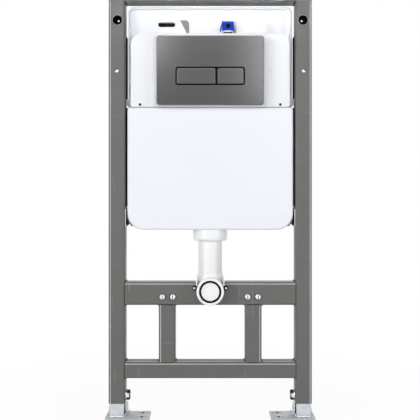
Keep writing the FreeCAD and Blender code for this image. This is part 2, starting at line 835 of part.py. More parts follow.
def outlet_elbow():
    """The moulded flush bend: a socket with a tapered shoulder, a round heel, a forward leg and a mouth."""
    heel = Vector(0, outlet_y, elbow_z)
    leg_out = rod(elbow_leg_diameter, outlet_y - elbow_front - mouth_length, heel, FRONT)
    mouth = rod(elbow_front_diameter, mouth_length, Vector(0, elbow_front + mouth_length, elbow_z), FRONT)
    mouth = mouth.makeFillet(elbow_edge_round, edges_in_plane(mouth, "Y", elbow_front))
    socket = rod(elbow_diameter, socket_rise - socket_shoulder, heel, UP)
    shoulder = Part.makeCone(elbow_diameter / 2, pipe_diameter / 2 + fit_gap + socket_lip, socket_shoulder,
                             heel + UP * (socket_rise - socket_shoulder), UP)
    ball = Part.makeSphere(elbow_diameter / 2, heel, UP, -90, 0)
    shape = joined([ball, socket, shoulder, leg_out, mouth])
    inner = seal_diameter - 2 * elbow_wall
    back_of_heel = heel + BACK * (inner / 2 - elbow_wall)
    shape = shape.cut(rod(inner, back_of_heel.y - elbow_front, back_of_heel, FRONT))
    shape = shape.cut(rod(inner - elbow_wall, socket_rise, heel, UP))
    shape = shape.cut(rod(seal_diameter + 2 * fit_gap, seal_length,
                          Vector(0, elbow_front + seal_length, elbow_z), FRONT))
    return shape.cut(rod(pipe_diameter + 2 * fit_gap, socket_depth, Vector(0, outlet_y, pipe_seat), UP))


def outlet_seal():
    """The black lip seal in the mouth of the bend."""
    base = Vector(0, elbow_front + seal_length, elbow_z)
    shape = rod(seal_diameter, seal_length + seal_lip, base, FRONT)
    return shape.cut(rod(seal_bore, seal_length + seal_lip, base, FRONT))


def outlet_plug():
    """The white transport plug in the mouth of the bend, a cup that is closed in front."""
    diameter = seal_bore - 2 * fit_gap
    base = Vector(0, elbow_front + plug_recess + plug_length, elbow_z)
    shape = rod(diameter, plug_length, base, FRONT)
    return shape.cut(rod(diameter - 2 * plug_wall, plug_length - plug_wall, base, FRONT))


def pipe_clip():
    """The black holder on the front of the bolt rail that keeps the bend down in its notch."""
    center = Vector(0, 0, elbow_z)
    ring = rod(elbow_leg_diameter + 2 * fit_gap + 2 * clip_ring, clip_sheet, center, FRONT)
    top = clip_screw_z + clip_ear_height / 2
    above = block(-clip_ear_reach, clip_ear_reach, -clip_sheet, 0, top, top + elbow_leg_diameter)
    ears = slab(0, clip_screw_z, 2 * clip_ear_reach, clip_ear_height, -clip_sheet, 0, clip_ring)
    hole = rod(elbow_leg_diameter + 2 * fit_gap, clip_sheet, center, FRONT)
    screws = [rod(clip_screw_shank + 2 * fit_gap, clip_sheet,
                  Vector(side * clip_screw_x, 0, clip_screw_z), FRONT)
              for side in (-1, 1)]
    return joined([ring.cut(above), ears]).cut([hole] + screws)


def clip_screws():
    """The two screws of the clip."""
    pieces = []
    for side in (-1, 1):
        seat = Vector(side * clip_screw_x, -clip_sheet, clip_screw_z)
        head = rod(clip_screw_head, clip_screw_head_height, seat, FRONT)
        head = head.makeFillet(clip_screw_head_height / 2,
                               edges_in_plane(head, "Y", seat.y - clip_screw_head_height))
        shank = rod(clip_screw_shank, clip_screw_length, seat, BACK)
        pieces.append(joined([head, shank]))
    return Part.makeCompound(pieces)


nodes = {
    "top_rail": top_rail(),
    "lower_rail": lower_rail(),
    "cistern": cistern(),
    "front_panel": front_panel(),
    "access_shaft": access_shaft(),
    "flush_plate": flush_plate(),
    "button_carrier": button_carrier(),
    "full_flush_button": flush_button(full_button_x, full_button_width),
    "half_flush_button": flush_button(half_button_x, half_button_width),
    "slotted_hood": slotted_hood(),
    "inlet_housing": inlet_housing(),
    "inlet_valve": inlet_valve(),
    "inlet_nut": inlet_ring(inlet_nut_diameter, inlet_nut_height, valve_z - valve_height / 2),
    "inlet_washer": inlet_ring(inlet_washer_diameter, inlet_washer_height,
                               valve_z - valve_height / 2 - inlet_nut_height),
    "outlet_collar": outlet_collar(),
    "flush_pipe": flush_pipe(),
    "outlet_elbow": outlet_elbow(),
    "outlet_seal": outlet_seal(),
    "outlet_plug": outlet_plug(),
    "pipe_clip": pipe_clip(),
    "clip_screws": clip_screws(),
}
for name, side in (("left", -1), ("right", 1)):
    nodes[name + "_post"] = post(side)
    nodes[name + "_post_cap"] = post_cap(side)
    nodes[name + "_bolt_rail"] = bolt_rail(side)
    nodes[name + "_strut"] = strut(side)
    nodes[name + "_pan_studs"] = pan_studs(side)
    nodes[name + "_leg"] = leg(side)
    nodes[name + "_foot_plate"] = foot_plate(side)
    nodes[name + "_lock_bolt"] = lock_bolt(side)
    nodes[name + "_foot_screw"] = foot_screw(side)
    nodes[name + "_tank_bracket"] = tank_bracket(side)

# The origin moves to the floor under the middle of the object
front_reach = elbow_front - seal_lip
to_middle = Vector(0, -(front_reach + tank_back) / 2, 0)

os.makedirs("parts", exist_ok=True)
for name, shape in nodes.items():
    shape.translate(to_middle)
    shape.exportStep("parts/" + name + ".step")
    print(name, len(shape.Solids), round(shape.Volume), shape.isValid())
print("moved along y by", to_middle.y)
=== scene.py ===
"""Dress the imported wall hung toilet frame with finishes, welds, threads and trim, in a plain studio."""
import json
import logging
import math
from dataclasses import dataclass
from enum import Enum
from typing import Callable, Iterable, Sequence

import bpy
from mathutils import Matrix, Vector


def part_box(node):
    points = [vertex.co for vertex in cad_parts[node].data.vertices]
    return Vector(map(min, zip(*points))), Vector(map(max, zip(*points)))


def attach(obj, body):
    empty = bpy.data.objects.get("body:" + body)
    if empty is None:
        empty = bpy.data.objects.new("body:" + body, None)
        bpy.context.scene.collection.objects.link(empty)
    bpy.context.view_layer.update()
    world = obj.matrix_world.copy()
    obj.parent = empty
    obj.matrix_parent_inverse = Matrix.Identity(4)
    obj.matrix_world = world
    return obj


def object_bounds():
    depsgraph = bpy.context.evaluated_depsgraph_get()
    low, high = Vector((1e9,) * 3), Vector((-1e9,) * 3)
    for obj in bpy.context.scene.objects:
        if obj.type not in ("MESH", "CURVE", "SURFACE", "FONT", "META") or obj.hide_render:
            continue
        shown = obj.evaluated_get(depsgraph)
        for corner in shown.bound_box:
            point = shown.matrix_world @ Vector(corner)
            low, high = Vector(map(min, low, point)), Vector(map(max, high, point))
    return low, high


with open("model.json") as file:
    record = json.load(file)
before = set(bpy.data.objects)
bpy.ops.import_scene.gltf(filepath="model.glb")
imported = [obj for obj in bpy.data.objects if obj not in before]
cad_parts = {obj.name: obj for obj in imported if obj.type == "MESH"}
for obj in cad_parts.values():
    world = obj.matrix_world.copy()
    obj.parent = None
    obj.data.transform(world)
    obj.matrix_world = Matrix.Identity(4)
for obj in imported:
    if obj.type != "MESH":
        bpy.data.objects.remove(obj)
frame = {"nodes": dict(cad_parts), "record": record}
CAD_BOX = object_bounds()

logging.basicConfig(level=logging.INFO, format="%(message)s")
LOG = logging.getLogger("toilet_frame")

Colour = tuple[float, float, float]
Place = tuple[float, float, float]
Span = tuple[float, float]
MM = 0.001
FINE_GROOVE = 0.2 * MM
SOFT_GROOVE = 0.3 * MM


class Side(Enum):
    """The two mirrored sides of the frame, seen from the front."""

    LEFT = -1
    RIGHT = 1

    @property
    def word(self) -> str:
        """The side's word in the names of nodes and bodies."""
        return self.name.lower()


class Axis(Enum):
    """The direction that a bead or a thread runs along."""

    X = (1.0, 0.0, 0.0)
    Y = (0.0, 1.0, 0.0)
    Z = (0.0, 0.0, 1.0)

    def turn_from(self, start: "Axis") -> Matrix:
        """Give the turn that lays a mesh made along one axis along this one.

        Args:
            start: The axis that the mesh was made along.

        Returns:
            A rotation as a 4 by 4 matrix.
        """
        return Vector(start.value).rotation_difference(Vector(self.value)).to_matrix().to_4x4()


class Effect(Enum):
    """The shared shader effects, by the names of their node groups."""

    CLOUDING = "surface_clouding"
    GRAIN = "surface_grain"
    SCRATCHES = "handling_scratches"
    DUST = "settled_dust"
    # Lighter edges: wear on paint and plastic, a painted highlight on the brushed metal and the valve.
    EDGES = "rubbed_edges"
    # Painted highlight lines on rounded corners.
    BENDS = "thin_coat_lines"
    BRUSHING = "brushed_lines"
    SPANGLE = "zinc_spangle"


# Node trees
class Graph:
    """Adds nodes to one shader tree and links them."""

    def __init__(self, tree: bpy.types.NodeTree) -> None:
        """Keep the tree that the nodes go into."""
        self.tree = tree

    def add(self, kind: str, **settings: object) -> bpy.types.Node:
        """Add a node.

        Args:
            kind: The node's type, without the leading ShaderNode.
            settings: Properties to set on the node.

        Returns:
            The new node.
        """
        node = self.tree.nodes.new("ShaderNode" + kind)
        for key, value in settings.items():
            setattr(node, key, value)
        return node

    def feed(self, socket: bpy.types.NodeSocket, value: object) -> None:
        """Link a socket to another one, or set it to a constant.

        Args:
            socket: The input to fill.
            value: An output socket, or a plain value.
        """
        if isinstance(value, bpy.types.NodeSocket):
            self.tree.links.new(value, socket)
        else:
            socket.default_value = value

    def math(self, operation: str, *values: object, clamp: bool = False) -> bpy.types.NodeSocket:
        """Combine values.

        Args:
            operation: The Math node's operation.
            values: Sockets or numbers, as many as the operation takes.
            clamp: Whether the result is kept between 0 and 1.

        Returns:
            The result's socket.
        """
        node = self.add("Math", operation=operation, use_clamp=clamp)
        for socket, value in zip(node.inputs, values):
            self.feed(socket, value)
        return node.outputs[0]

    def spread(self, value: bpy.types.NodeSocket, low: float, high: float,
               to_low: float = 0.0, to_high: float = 1.0) -> bpy.types.NodeSocket:
        """Map a range of values to another one and clamp it.

        Args:
            value: The socket to map.
            low: The value that becomes to_low.
            high: The value that becomes to_high.
            to_low: The low end of the result.
            to_high: The high end of the result.

        Returns:
            The mapped value's socket.
        """
        node = self.add("MapRange", clamp=True)
        self.feed(node.inputs["Value"], value)
        ends = {"From Min": low, "From Max": high, "To Min": to_low, "To Max": to_high}
        for name, number in ends.items():
            node.inputs[name].default_value = number
        return node.outputs["Result"]

    def product(self, first: bpy.types.NodeSocket, *others: object) -> bpy.types.NodeSocket:
        """Multiply masks.

        Args:
            first: The first mask's socket.
            others: More sockets or numbers.

        Returns:
            The product's socket.
        """
        result = first
        for other in others:
            result = self.math("MULTIPLY", result, other)
        return result

    def parts(self, vector: bpy.types.NodeSocket) -> tuple[bpy.types.NodeSocket, ...]:
        """Split a vector.

        Args:
            vector: The vector's socket.

        Returns:
            The sockets of its X, Y and Z.
        """
        node = self.add("SeparateXYZ")
        self.feed(node.inputs[0], vector)
        return tuple(node.outputs)

    def blend(self, factor: object, first: object, second: object) -> bpy.types.NodeSocket:
        """Mix two colours.

        Args:
            factor: How much of the second one shows.
            first: A socket or a colour.
            second: A socket or a colour.

        Returns:
            The mixed colour's socket.
        """
        node = self.add("Mix", data_type="RGBA")
        self.feed(node.inputs[0], factor)
        for socket, colour in ((node.inputs[6], first), (node.inputs[7], second)):
            self.feed(socket, colour if isinstance(colour, bpy.types.NodeSocket) else (*colour, 1.0))
        return node.outputs[2]

    def noise(self, scale: object, detail: float,
              stretch: Place = (1.0, 1.0, 1.0)) -> bpy.types.NodeSocket:
        """Add a noise on Object coordinates.

        Args:
            scale: The noise's scale, a socket or a number.
            detail: The noise's octaves.
            stretch: How much the coordinates are scaled along each axis first.

        Returns:
            The noise's value, about 0.5.
        """
        place = self.add("Mapping")
        self.feed(place.inputs["Vector"], self.add("TexCoord").outputs["Object"])
        place.inputs["Scale"].default_value = stretch
        node = self.add("TexNoise")
        self.feed(node.inputs["Vector"], place.outputs["Vector"])
        self.feed(node.inputs["Scale"], scale)
        node.inputs["Detail"].default_value = detail
        return node.outputs["Fac"]


class EffectLibrary:
    """Builds each shared effect once as a node group and places it in materials."""

    def __init__(self) -> None:
        """Start with no groups."""
        self.groups: dict[Effect, bpy.types.NodeTree] = {}
        self.makers: dict[Effect, Callable[[], bpy.types.NodeTree]] = {
            Effect.CLOUDING: self.clouding,
            Effect.GRAIN: self.grain,
            Effect.SCRATCHES: self.scratches,
            Effect.DUST: self.dust,
            Effect.EDGES: self.edges,
            Effect.BENDS: self.bends,
            Effect.BRUSHING: self.brushing,
            Effect.SPANGLE: self.spangle,
        }

    @staticmethod
    def start(effect: Effect, inputs: dict[str, float], outputs: Sequence[str]) -> tuple[Graph, dict, dict]:
        """Start a group with named sockets.

        Args:
            effect: The effect whose name the group takes.
            inputs: Each input's name and its usual value.
            outputs: The names of the outputs.

        Returns:
            The group's graph, its input sockets and its output sockets, by name.
        """
        tree = bpy.data.node_groups.new(effect.value, "ShaderNodeTree")
        for name, value in inputs.items():
            socket = tree.interface.new_socket(name, in_out="INPUT", socket_type="NodeSocketFloat")
            socket.default_value = value
        for name in outputs:
            tree.interface.new_socket(name, in_out="OUTPUT", socket_type="NodeSocketFloat")
        entry = tree.nodes.new("NodeGroupInput")
        result = tree.nodes.new("NodeGroupOutput")
        return (Graph(tree), {name: entry.outputs[name] for name in inputs},
                {name: result.inputs[name] for name in outputs})

    def clouding(self) -> bpy.types.NodeTree:
        """Build slow, cloudy change over a surface.

        Returns:
            The group's tree.
        """
        graph, given, out = self.start(Effect.CLOUDING, {"Scale": 14.0}, ["Value"])
        graph.feed(out["Value"], graph.spread(graph.noise(given["Scale"], 4.0), 0.3, 0.7))
        return graph.tree

    def grain(self) -> bpy.types.NodeTree:
        """Build the fine pebbled height of a coat or a moulding.

        Returns:
            The group's tree.
        """
        graph, given, out = self.start(Effect.GRAIN, {"Scale": 600.0}, ["Height"])
        coarse = graph.noise(given["Scale"], 1.0)
        fine = graph.noise(graph.math("MULTIPLY", given["Scale"], 3.1), 2.0)
        graph.feed(out["Height"], graph.math("MULTIPLY_ADD", fine, 0.35, coarse))
        return graph.tree

    def scratches(self) -> bpy.types.NodeTree:
        """Build sparse, fine marks from handling, along and across the piece.

        Returns:
            The group's tree.
        """
        graph, given, out = self.start(Effect.SCRATCHES, {"Scale": 120.0, "Amount": 0.5}, ["Mask"])
        along = graph.spread(graph.noise(given["Scale"], 2.0, (1.0, 1.0, 0.05)), 0.66, 0.7)
        across = graph.spread(graph.noise(given["Scale"], 2.0, (0.06, 1.0, 1.0)), 0.67, 0.71)
        patch = graph.spread(graph.noise(9.0, 2.0), 0.5, 0.62)
        both = graph.math("MAXIMUM", along, across)
        graph.feed(out["Mask"], graph.product(both, patch, given["Amount"]))
        return graph.tree

    def dust(self) -> bpy.types.NodeTree:
        """Build a thin, uneven film on faces that look up.

        Returns:
            The group's tree.
        """
        graph, given, out = self.start(Effect.DUST, {"Scale": 40.0, "Amount": 0.3}, ["Mask"])
        normal = graph.parts(graph.add("NewGeometry").outputs["Normal"])
        upward = graph.spread(normal[2], 0.45, 1.0)
        patch = graph.spread(graph.noise(given["Scale"], 5.0), 0.35, 0.7)
        graph.feed(out["Mask"], graph.product(upward, patch, given["Amount"]))
        return graph.tree

    def edges(self) -> bpy.types.NodeTree:
        """Build a broken line along edges: worn paint or plastic on most finishes, a painted highlight on
        the brushed metal and the valve.

        Returns:
            The group's tree.
        """
        graph, given, out = self.start(Effect.EDGES, {"Radius": 0.0015, "Amount": 1.0}, ["Mask"])
        bevel = graph.add("Bevel", samples=6)
        graph.feed(bevel.inputs["Radius"], given["Radius"])
        facing = graph.add("VectorMath", operation="DOT_PRODUCT")
        graph.feed(facing.inputs[0], bevel.outputs["Normal"])
        graph.feed(facing.inputs[1], graph.add("NewGeometry").outputs["Normal"])
        line = graph.spread(facing.outputs["Value"], 0.98, 0.8)
        patch = graph.spread(graph.noise(70.0, 4.0), 0.3, 0.65, 0.25, 1.0)
        graph.feed(out["Mask"], graph.product(line, patch, given["Amount"]))
        return graph.tree

    def bends(self) -> bpy.types.NodeTree:
        """Build light lines on rounded corners of tubes that face out or up: a painted highlight for the
        corners' glint.

        Returns:
            The group's tree.
        """
        graph, given, out = self.start(Effect.BENDS, {"Amount": 1.0}, ["Mask"])
        normal = graph.parts(graph.add("NewGeometry").outputs["Normal"])
        side = graph.math("SIGN", graph.parts(graph.add("TexCoord").outputs["Object"])[0])
        outward = graph.math("MULTIPLY_ADD", side, normal[0], normal[2])
        # Keep the painted highlight to the side that faces out from the middle, or up.
        outward_mask = graph.spread(outward, 0.02, 0.08)
        across, along, upward = (graph.math("ABSOLUTE", part) for part in normal)
        facing = graph.math("MAXIMUM", graph.math("MAXIMUM", across, along), upward)
        near = graph.spread(facing, 0.998, 0.99)
        far = graph.spread(facing, 0.945, 0.965)
        graph.feed(out["Mask"], graph.product(near, far, outward_mask, given["Amount"]))
        return graph.tree

    def brushing(self) -> bpy.types.NodeTree:
        """Build fine lines along X, as a brushed metal face has.

        Returns:
            The group's tree.
        """
        graph, given, out = self.start(Effect.BRUSHING, {"Scale": 900.0}, ["Height"])
        fine = graph.noise(given["Scale"], 2.0, (0.012, 1.0, 1.0))
        broad = graph.noise(graph.math("MULTIPLY", given["Scale"], 0.2), 2.0, (0.02, 1.0, 1.0))
        graph.feed(out["Height"], graph.math("ADD", graph.math("MULTIPLY", fine, 0.7),
                                             graph.math("MULTIPLY", broad, 0.3)))
        return graph.tree

    def spangle(self) -> bpy.types.NodeTree:
        """Build the patches of grey that crystals leave in a zinc coat.

        Returns:
            The group's tree.
        """
        graph, given, out = self.start(Effect.SPANGLE, {"Scale": 160.0}, ["Value"])
        cells = graph.add("TexVoronoi", feature="F1")
        graph.feed(cells.inputs["Vector"], graph.add("TexCoord").outputs["Object"])
        graph.feed(cells.inputs["Scale"], given["Scale"])
        tone = graph.add("SeparateColor")
        graph.feed(tone.inputs[0], cells.outputs["Color"])
        soft = graph.spread(graph.noise(given["Scale"], 3.0), 0.3, 0.7)
        graph.feed(out["Value"], graph.math("ADD", graph.math("MULTIPLY", tone.outputs[0], 0.55),
                                            graph.math("MULTIPLY", soft, 0.45)))
        return graph.tree

    def place(self, graph: Graph, effect: Effect, **values: float) -> bpy.types.NodeSocket:
        """Place an effect in a material.

        Args:
            graph: The material's graph.
            effect: The effect to place.
            values: The effect's inputs, in lower case.

        Returns:
            The effect's only output.
        """
        if effect not in self.groups:
            self.groups[effect] = self.makers[effect]()
        node = graph.add("Group", node_tree=self.groups[effect])
        for name, value in values.items():
            node.inputs[name.capitalize()].default_value = value
        return node.outputs[0]


EFFECTS = EffectLibrary()


# Finishes
@dataclass(frozen=True)
class Finish:
    """What every finish shares: its record slot, its two clouding colours and its gloss."""

    slot: str
    colour: Colour
    shade: Colour
    roughness: float
    cloud_scale: float = 14.0
    variant: str = "finish"

    def material(self) -> bpy.types.Material:
        """Build the finish, or give the one that is built already.

        Returns:
            The finish's material.
        """
        name = self.slot + "_" + self.variant
        known = bpy.data.materials.get(name)
        if known:
            return known
        material = bpy.data.materials.new(name)
        material.use_nodes = True
        graph = Graph(material.node_tree)
        shader = material.node_tree.nodes["Principled BSDF"]
        material.diffuse_color = (*self.colour, 1.0)
        self.dress(graph, shader)
        return material

    def clouds(self, graph: Graph) -> bpy.types.NodeSocket:
        """Add the clouding of the two colours.

        Args:
            graph: The material's graph.

        Returns:
            The clouded colour.
        """
        cloud = EFFECTS.place(graph, Effect.CLOUDING, scale=self.cloud_scale)
        return graph.blend(cloud, self.colour, self.shade)

    def uneven_gloss(self, graph: Graph, pattern: bpy.types.NodeSocket,
                     change: float) -> bpy.types.NodeSocket:
        """Vary the roughness about its mean.

        Args:
            graph: The material's graph.
            pattern: The value that it varies with, 0 to 1.
            change: How far it goes from one end to the other.

        Returns:
            The roughness.
        """
        return graph.math("MULTIPLY_ADD", pattern, change, self.roughness - change / 2)

    def dress(self, graph: Graph, shader: bpy.types.Node) -> None:
        """Set up the shader.

        Args:
            graph: The material's graph.
            shader: Its Principled shader.
        """
        raise NotImplementedError

    @staticmethod
    def bump(graph: Graph, shader: bpy.types.Node, height: bpy.types.NodeSocket, depth: float,
             strength: float) -> None:
        """Feed a height into the shader's normal.

        Args:
            graph: The material's graph.
            shader: Its Principled shader.
            height: The height, about 0 to 1.
            depth: What a height of 1 stands for, in metres.
            strength: How much of the bump shows.
        """
        bump = graph.add("Bump")
        bump.inputs["Strength"].default_value = strength
        bump.inputs["Distance"].default_value = depth
        graph.feed(bump.inputs["Height"], height)
        graph.feed(shader.inputs["Normal"], bump.outputs["Normal"])


@dataclass(frozen=True)
class PowderCoat(Finish):
    """Satin powder coat on steel, with orange peel, worn edges, painted highlight lines on rounded corners,
    dust and light handling marks.
    """

    edge: Colour = (0.4, 0.4, 0.39)
    edge_radius: float = 1.6 * MM
    edge_amount: float = 0.35
    # The painted highlight's colour on rounded corners, and its strength below.
    bend: Colour = (0.7, 0.7, 0.69)
    highlight_amount: float = 0.95
    dust: Colour = (0.42, 0.41, 0.39)
    dust_scale: float = 45.0
    dust_amount: float = 0.06
    dust_matting: float = 0.6
    mark_scale: float = 110.0
    mark_amount: float = 0.3
    gloss_scale: float = 33.0
    gloss_change: float = 0.1
    peel_scale: float = 420.0
    peel_depth: float = 0.04 * MM
    peel_strength: float = 0.6
    specular: float = 0.3

    def dress(self, graph: Graph, shader: bpy.types.Node) -> None:
        """Set up the coat's shader.

        Args:
            graph: The material's graph.
            shader: Its Principled shader.
        """
        colour = self.clouds(graph)
        edges = EFFECTS.place(graph, Effect.EDGES, radius=self.edge_radius, amount=self.edge_amount)
        colour = graph.blend(edges, colour, self.edge)
        # Lighten the rounded corners that face out or up: a painted highlight.
        bends = EFFECTS.place(graph, Effect.BENDS, amount=self.highlight_amount)
        colour = graph.blend(bends, colour, self.bend)
        dust = EFFECTS.place(graph, Effect.DUST, scale=self.dust_scale, amount=self.dust_amount)
        colour = graph.blend(dust, colour, self.dust)
        marks = EFFECTS.place(graph, Effect.SCRATCHES, scale=self.mark_scale, amount=self.mark_amount)
        colour = graph.blend(marks, colour, self.edge)
        graph.feed(shader.inputs["Base Color"], colour)
        cloud = EFFECTS.place(graph, Effect.CLOUDING, scale=self.gloss_scale)
        rough = self.uneven_gloss(graph, cloud, self.gloss_change)
        matted = graph.math("MULTIPLY_ADD", dust, self.dust_matting, rough, clamp=True)
        graph.feed(shader.inputs["Roughness"], matted)
        shader.inputs["Specular IOR Level"].default_value = self.specular
        peel = EFFECTS.place(graph, Effect.GRAIN, scale=self.peel_scale)
        self.bump(graph, shader, peel, self.peel_depth, self.peel_strength)


@dataclass(frozen=True)
class MouldedPlastic(Finish):
    """Moulded plastic with a fine grain, faint clouding, lighter edges and a little dust on top; the edges
    are wear, except on the valve, where they are a painted highlight.
    """

    edge: Colour = (0.9, 0.9, 0.9)
    dust: Colour = (0.5, 0.48, 0.45)
    edge_radius: float = 1.0 * MM
    edge_amount: float = 0.2
    dust_scale: float = 60.0
    dust_amount: float = 0.1
    mark_scale: float = 140.0
    mark_amount: float = 0.2
    gloss_scale: float = 26.0
    gloss_change: float = 0.08
    grain_scale: float = 700.0
    grain_depth: float = 0.03 * MM
    grain_strength: float = 0.5
    coat: float = 0.0
    coat_roughness: float = 0.15
    specular: float = 0.5

    def dress(self, graph: Graph, shader: bpy.types.Node) -> None:
        """Set up the plastic's shader.

        Args:
            graph: The material's graph.
            shader: Its Principled shader.
        """
        colour = self.clouds(graph)
        edges = EFFECTS.place(graph, Effect.EDGES, radius=self.edge_radius, amount=self.edge_amount)
        colour = graph.blend(edges, colour, self.edge)
        dust = EFFECTS.place(graph, Effect.DUST, scale=self.dust_scale, amount=self.dust_amount)
        colour = graph.blend(dust, colour, self.dust)
        graph.feed(shader.inputs["Base Color"], colour)
        marks = EFFECTS.place(graph, Effect.SCRATCHES, scale=self.mark_scale, amount=self.mark_amount)
        cloud = EFFECTS.place(graph, Effect.CLOUDING, scale=self.gloss_scale)
        rough = self.uneven_gloss(graph, cloud, self.gloss_change)
        graph.feed(shader.inputs["Roughness"], graph.math("ADD", rough, marks, clamp=True))
        shader.inputs["Specular IOR Level"].default_value = self.specular
        shader.inputs["Coat Weight"].default_value = self.coat
        shader.inputs["Coat Roughness"].default_value = self.coat_roughness
        grain = EFFECTS.place(graph, Effect.GRAIN, scale=self.grain_scale)
        self.bump(graph, shader, grain, self.grain_depth, self.grain_strength)


@dataclass(frozen=True)
class BrightZinc(Finish):
    """Bright zinc plate with a soft spangle, duller clouds, scratches and dust."""

    dull: Colour = (0.4, 0.41, 0.42)
    dust_scale: float = 55.0
    dust_amount: float = 0.45
    dust_matting: float = 0.5
    mark_scale: float = 160.0
    mark_amount: float = 0.6
    gloss_change: float = 0.14
    metallic: float = 0.95
    spangle_scale: float = 150.0
    spangle_depth: float = 0.04 * MM
    spangle_strength: float = 0.35

    def dress(self, graph: Graph, shader: bpy.types.Node) -> None:
        """Set up the zinc's shader.

        Args:
            graph: The material's graph.
            shader: Its Principled shader.
        """
        spangle = EFFECTS.place(graph, Effect.SPANGLE, scale=self.spangle_scale)
        colour = graph.blend(graph.spread(spangle, 0.2, 0.8), self.colour, self.shade)
        dust = EFFECTS.place(graph, Effect.DUST, scale=self.dust_scale, amount=self.dust_amount)
        colour = graph.blend(dust, colour, self.dull)
        marks = EFFECTS.place(graph, Effect.SCRATCHES, scale=self.mark_scale, amount=self.mark_amount)
        colour = graph.blend(marks, colour, self.dull)
        graph.feed(shader.inputs["Base Color"], colour)
        shader.inputs["Metallic"].default_value = self.metallic
        rough = self.uneven_gloss(graph, spangle, self.gloss_change)
        matted = graph.math("MULTIPLY_ADD", dust, self.dust_matting, rough, clamp=True)
        graph.feed(shader.inputs["Roughness"], matted)
        self.bump(graph, shader, spangle, self.spangle_depth, self.spangle_strength)


@dataclass(frozen=True)
class BrushedMetal(Finish):
    """Dark brushed metal, its lines lying along X, with bright edges that are a painted highlight."""

    # The lighter edge colour: a painted highlight along the edges.
    edge: Colour = (0.3, 0.3, 0.3)
    edge_radius: float = 0.8 * MM
    edge_amount: float = 0.5
    gloss_change: float = 0.05
    line_scale: float = 900.0
    line_depth: float = 0.02 * MM
    line_strength: float = 0.12

    def dress(self, graph: Graph, shader: bpy.types.Node) -> None:
        """Set up the metal's shader.

        Args:
            graph: The material's graph.
            shader: Its Principled shader.
        """
        lines = EFFECTS.place(graph, Effect.BRUSHING, scale=self.line_scale)
        colour = graph.blend(graph.spread(lines, 0.35, 0.65), self.colour, self.shade)
        edges = EFFECTS.place(graph, Effect.EDGES, radius=self.edge_radius, amount=self.edge_amount)
        colour = graph.blend(edges, colour, self.edge)
        graph.feed(shader.inputs["Base Color"], colour)
        shader.inputs["Metallic"].default_value = 1.0
        graph.feed(shader.inputs["Roughness"], self.uneven_gloss(graph, lines, self.gloss_change))
        self.bump(graph, shader, lines, self.line_depth, self.line_strength)


@dataclass(frozen=True)
class SoftRubber(Finish):
    """Black rubber with a bloom in clouds and a matt grain."""

    bloom: Colour = (0.03, 0.03, 0.03)
    bloom_scale: float = 80.0
    bloom_amount: float = 0.25
    gloss_scale: float = 60.0
    gloss_change: float = 0.12
    grain_scale: float = 1100.0
    grain_depth: float = 0.03 * MM
    grain_strength: float = 0.6
    specular: float = 0.02

    def dress(self, graph: Graph, shader: bpy.types.Node) -> None:
        """Set up the rubber's shader.

        Args:
            graph: The material's graph.
            shader: Its Principled shader.
        """
        colour = self.clouds(graph)
        bloom = EFFECTS.place(graph, Effect.DUST, scale=self.bloom_scale, amount=self.bloom_amount)
        graph.feed(shader.inputs["Base Color"], graph.blend(bloom, colour, self.bloom))
        cloud = EFFECTS.place(graph, Effect.CLOUDING, scale=self.gloss_scale)
        graph.feed(shader.inputs["Roughness"], self.uneven_gloss(graph, cloud, self.gloss_change))
        shader.inputs["Specular IOR Level"].default_value = self.specular
        grain = EFFECTS.place(graph, Effect.GRAIN, scale=self.grain_scale)
        self.bump(graph, shader, grain, self.grain_depth, self.grain_strength)


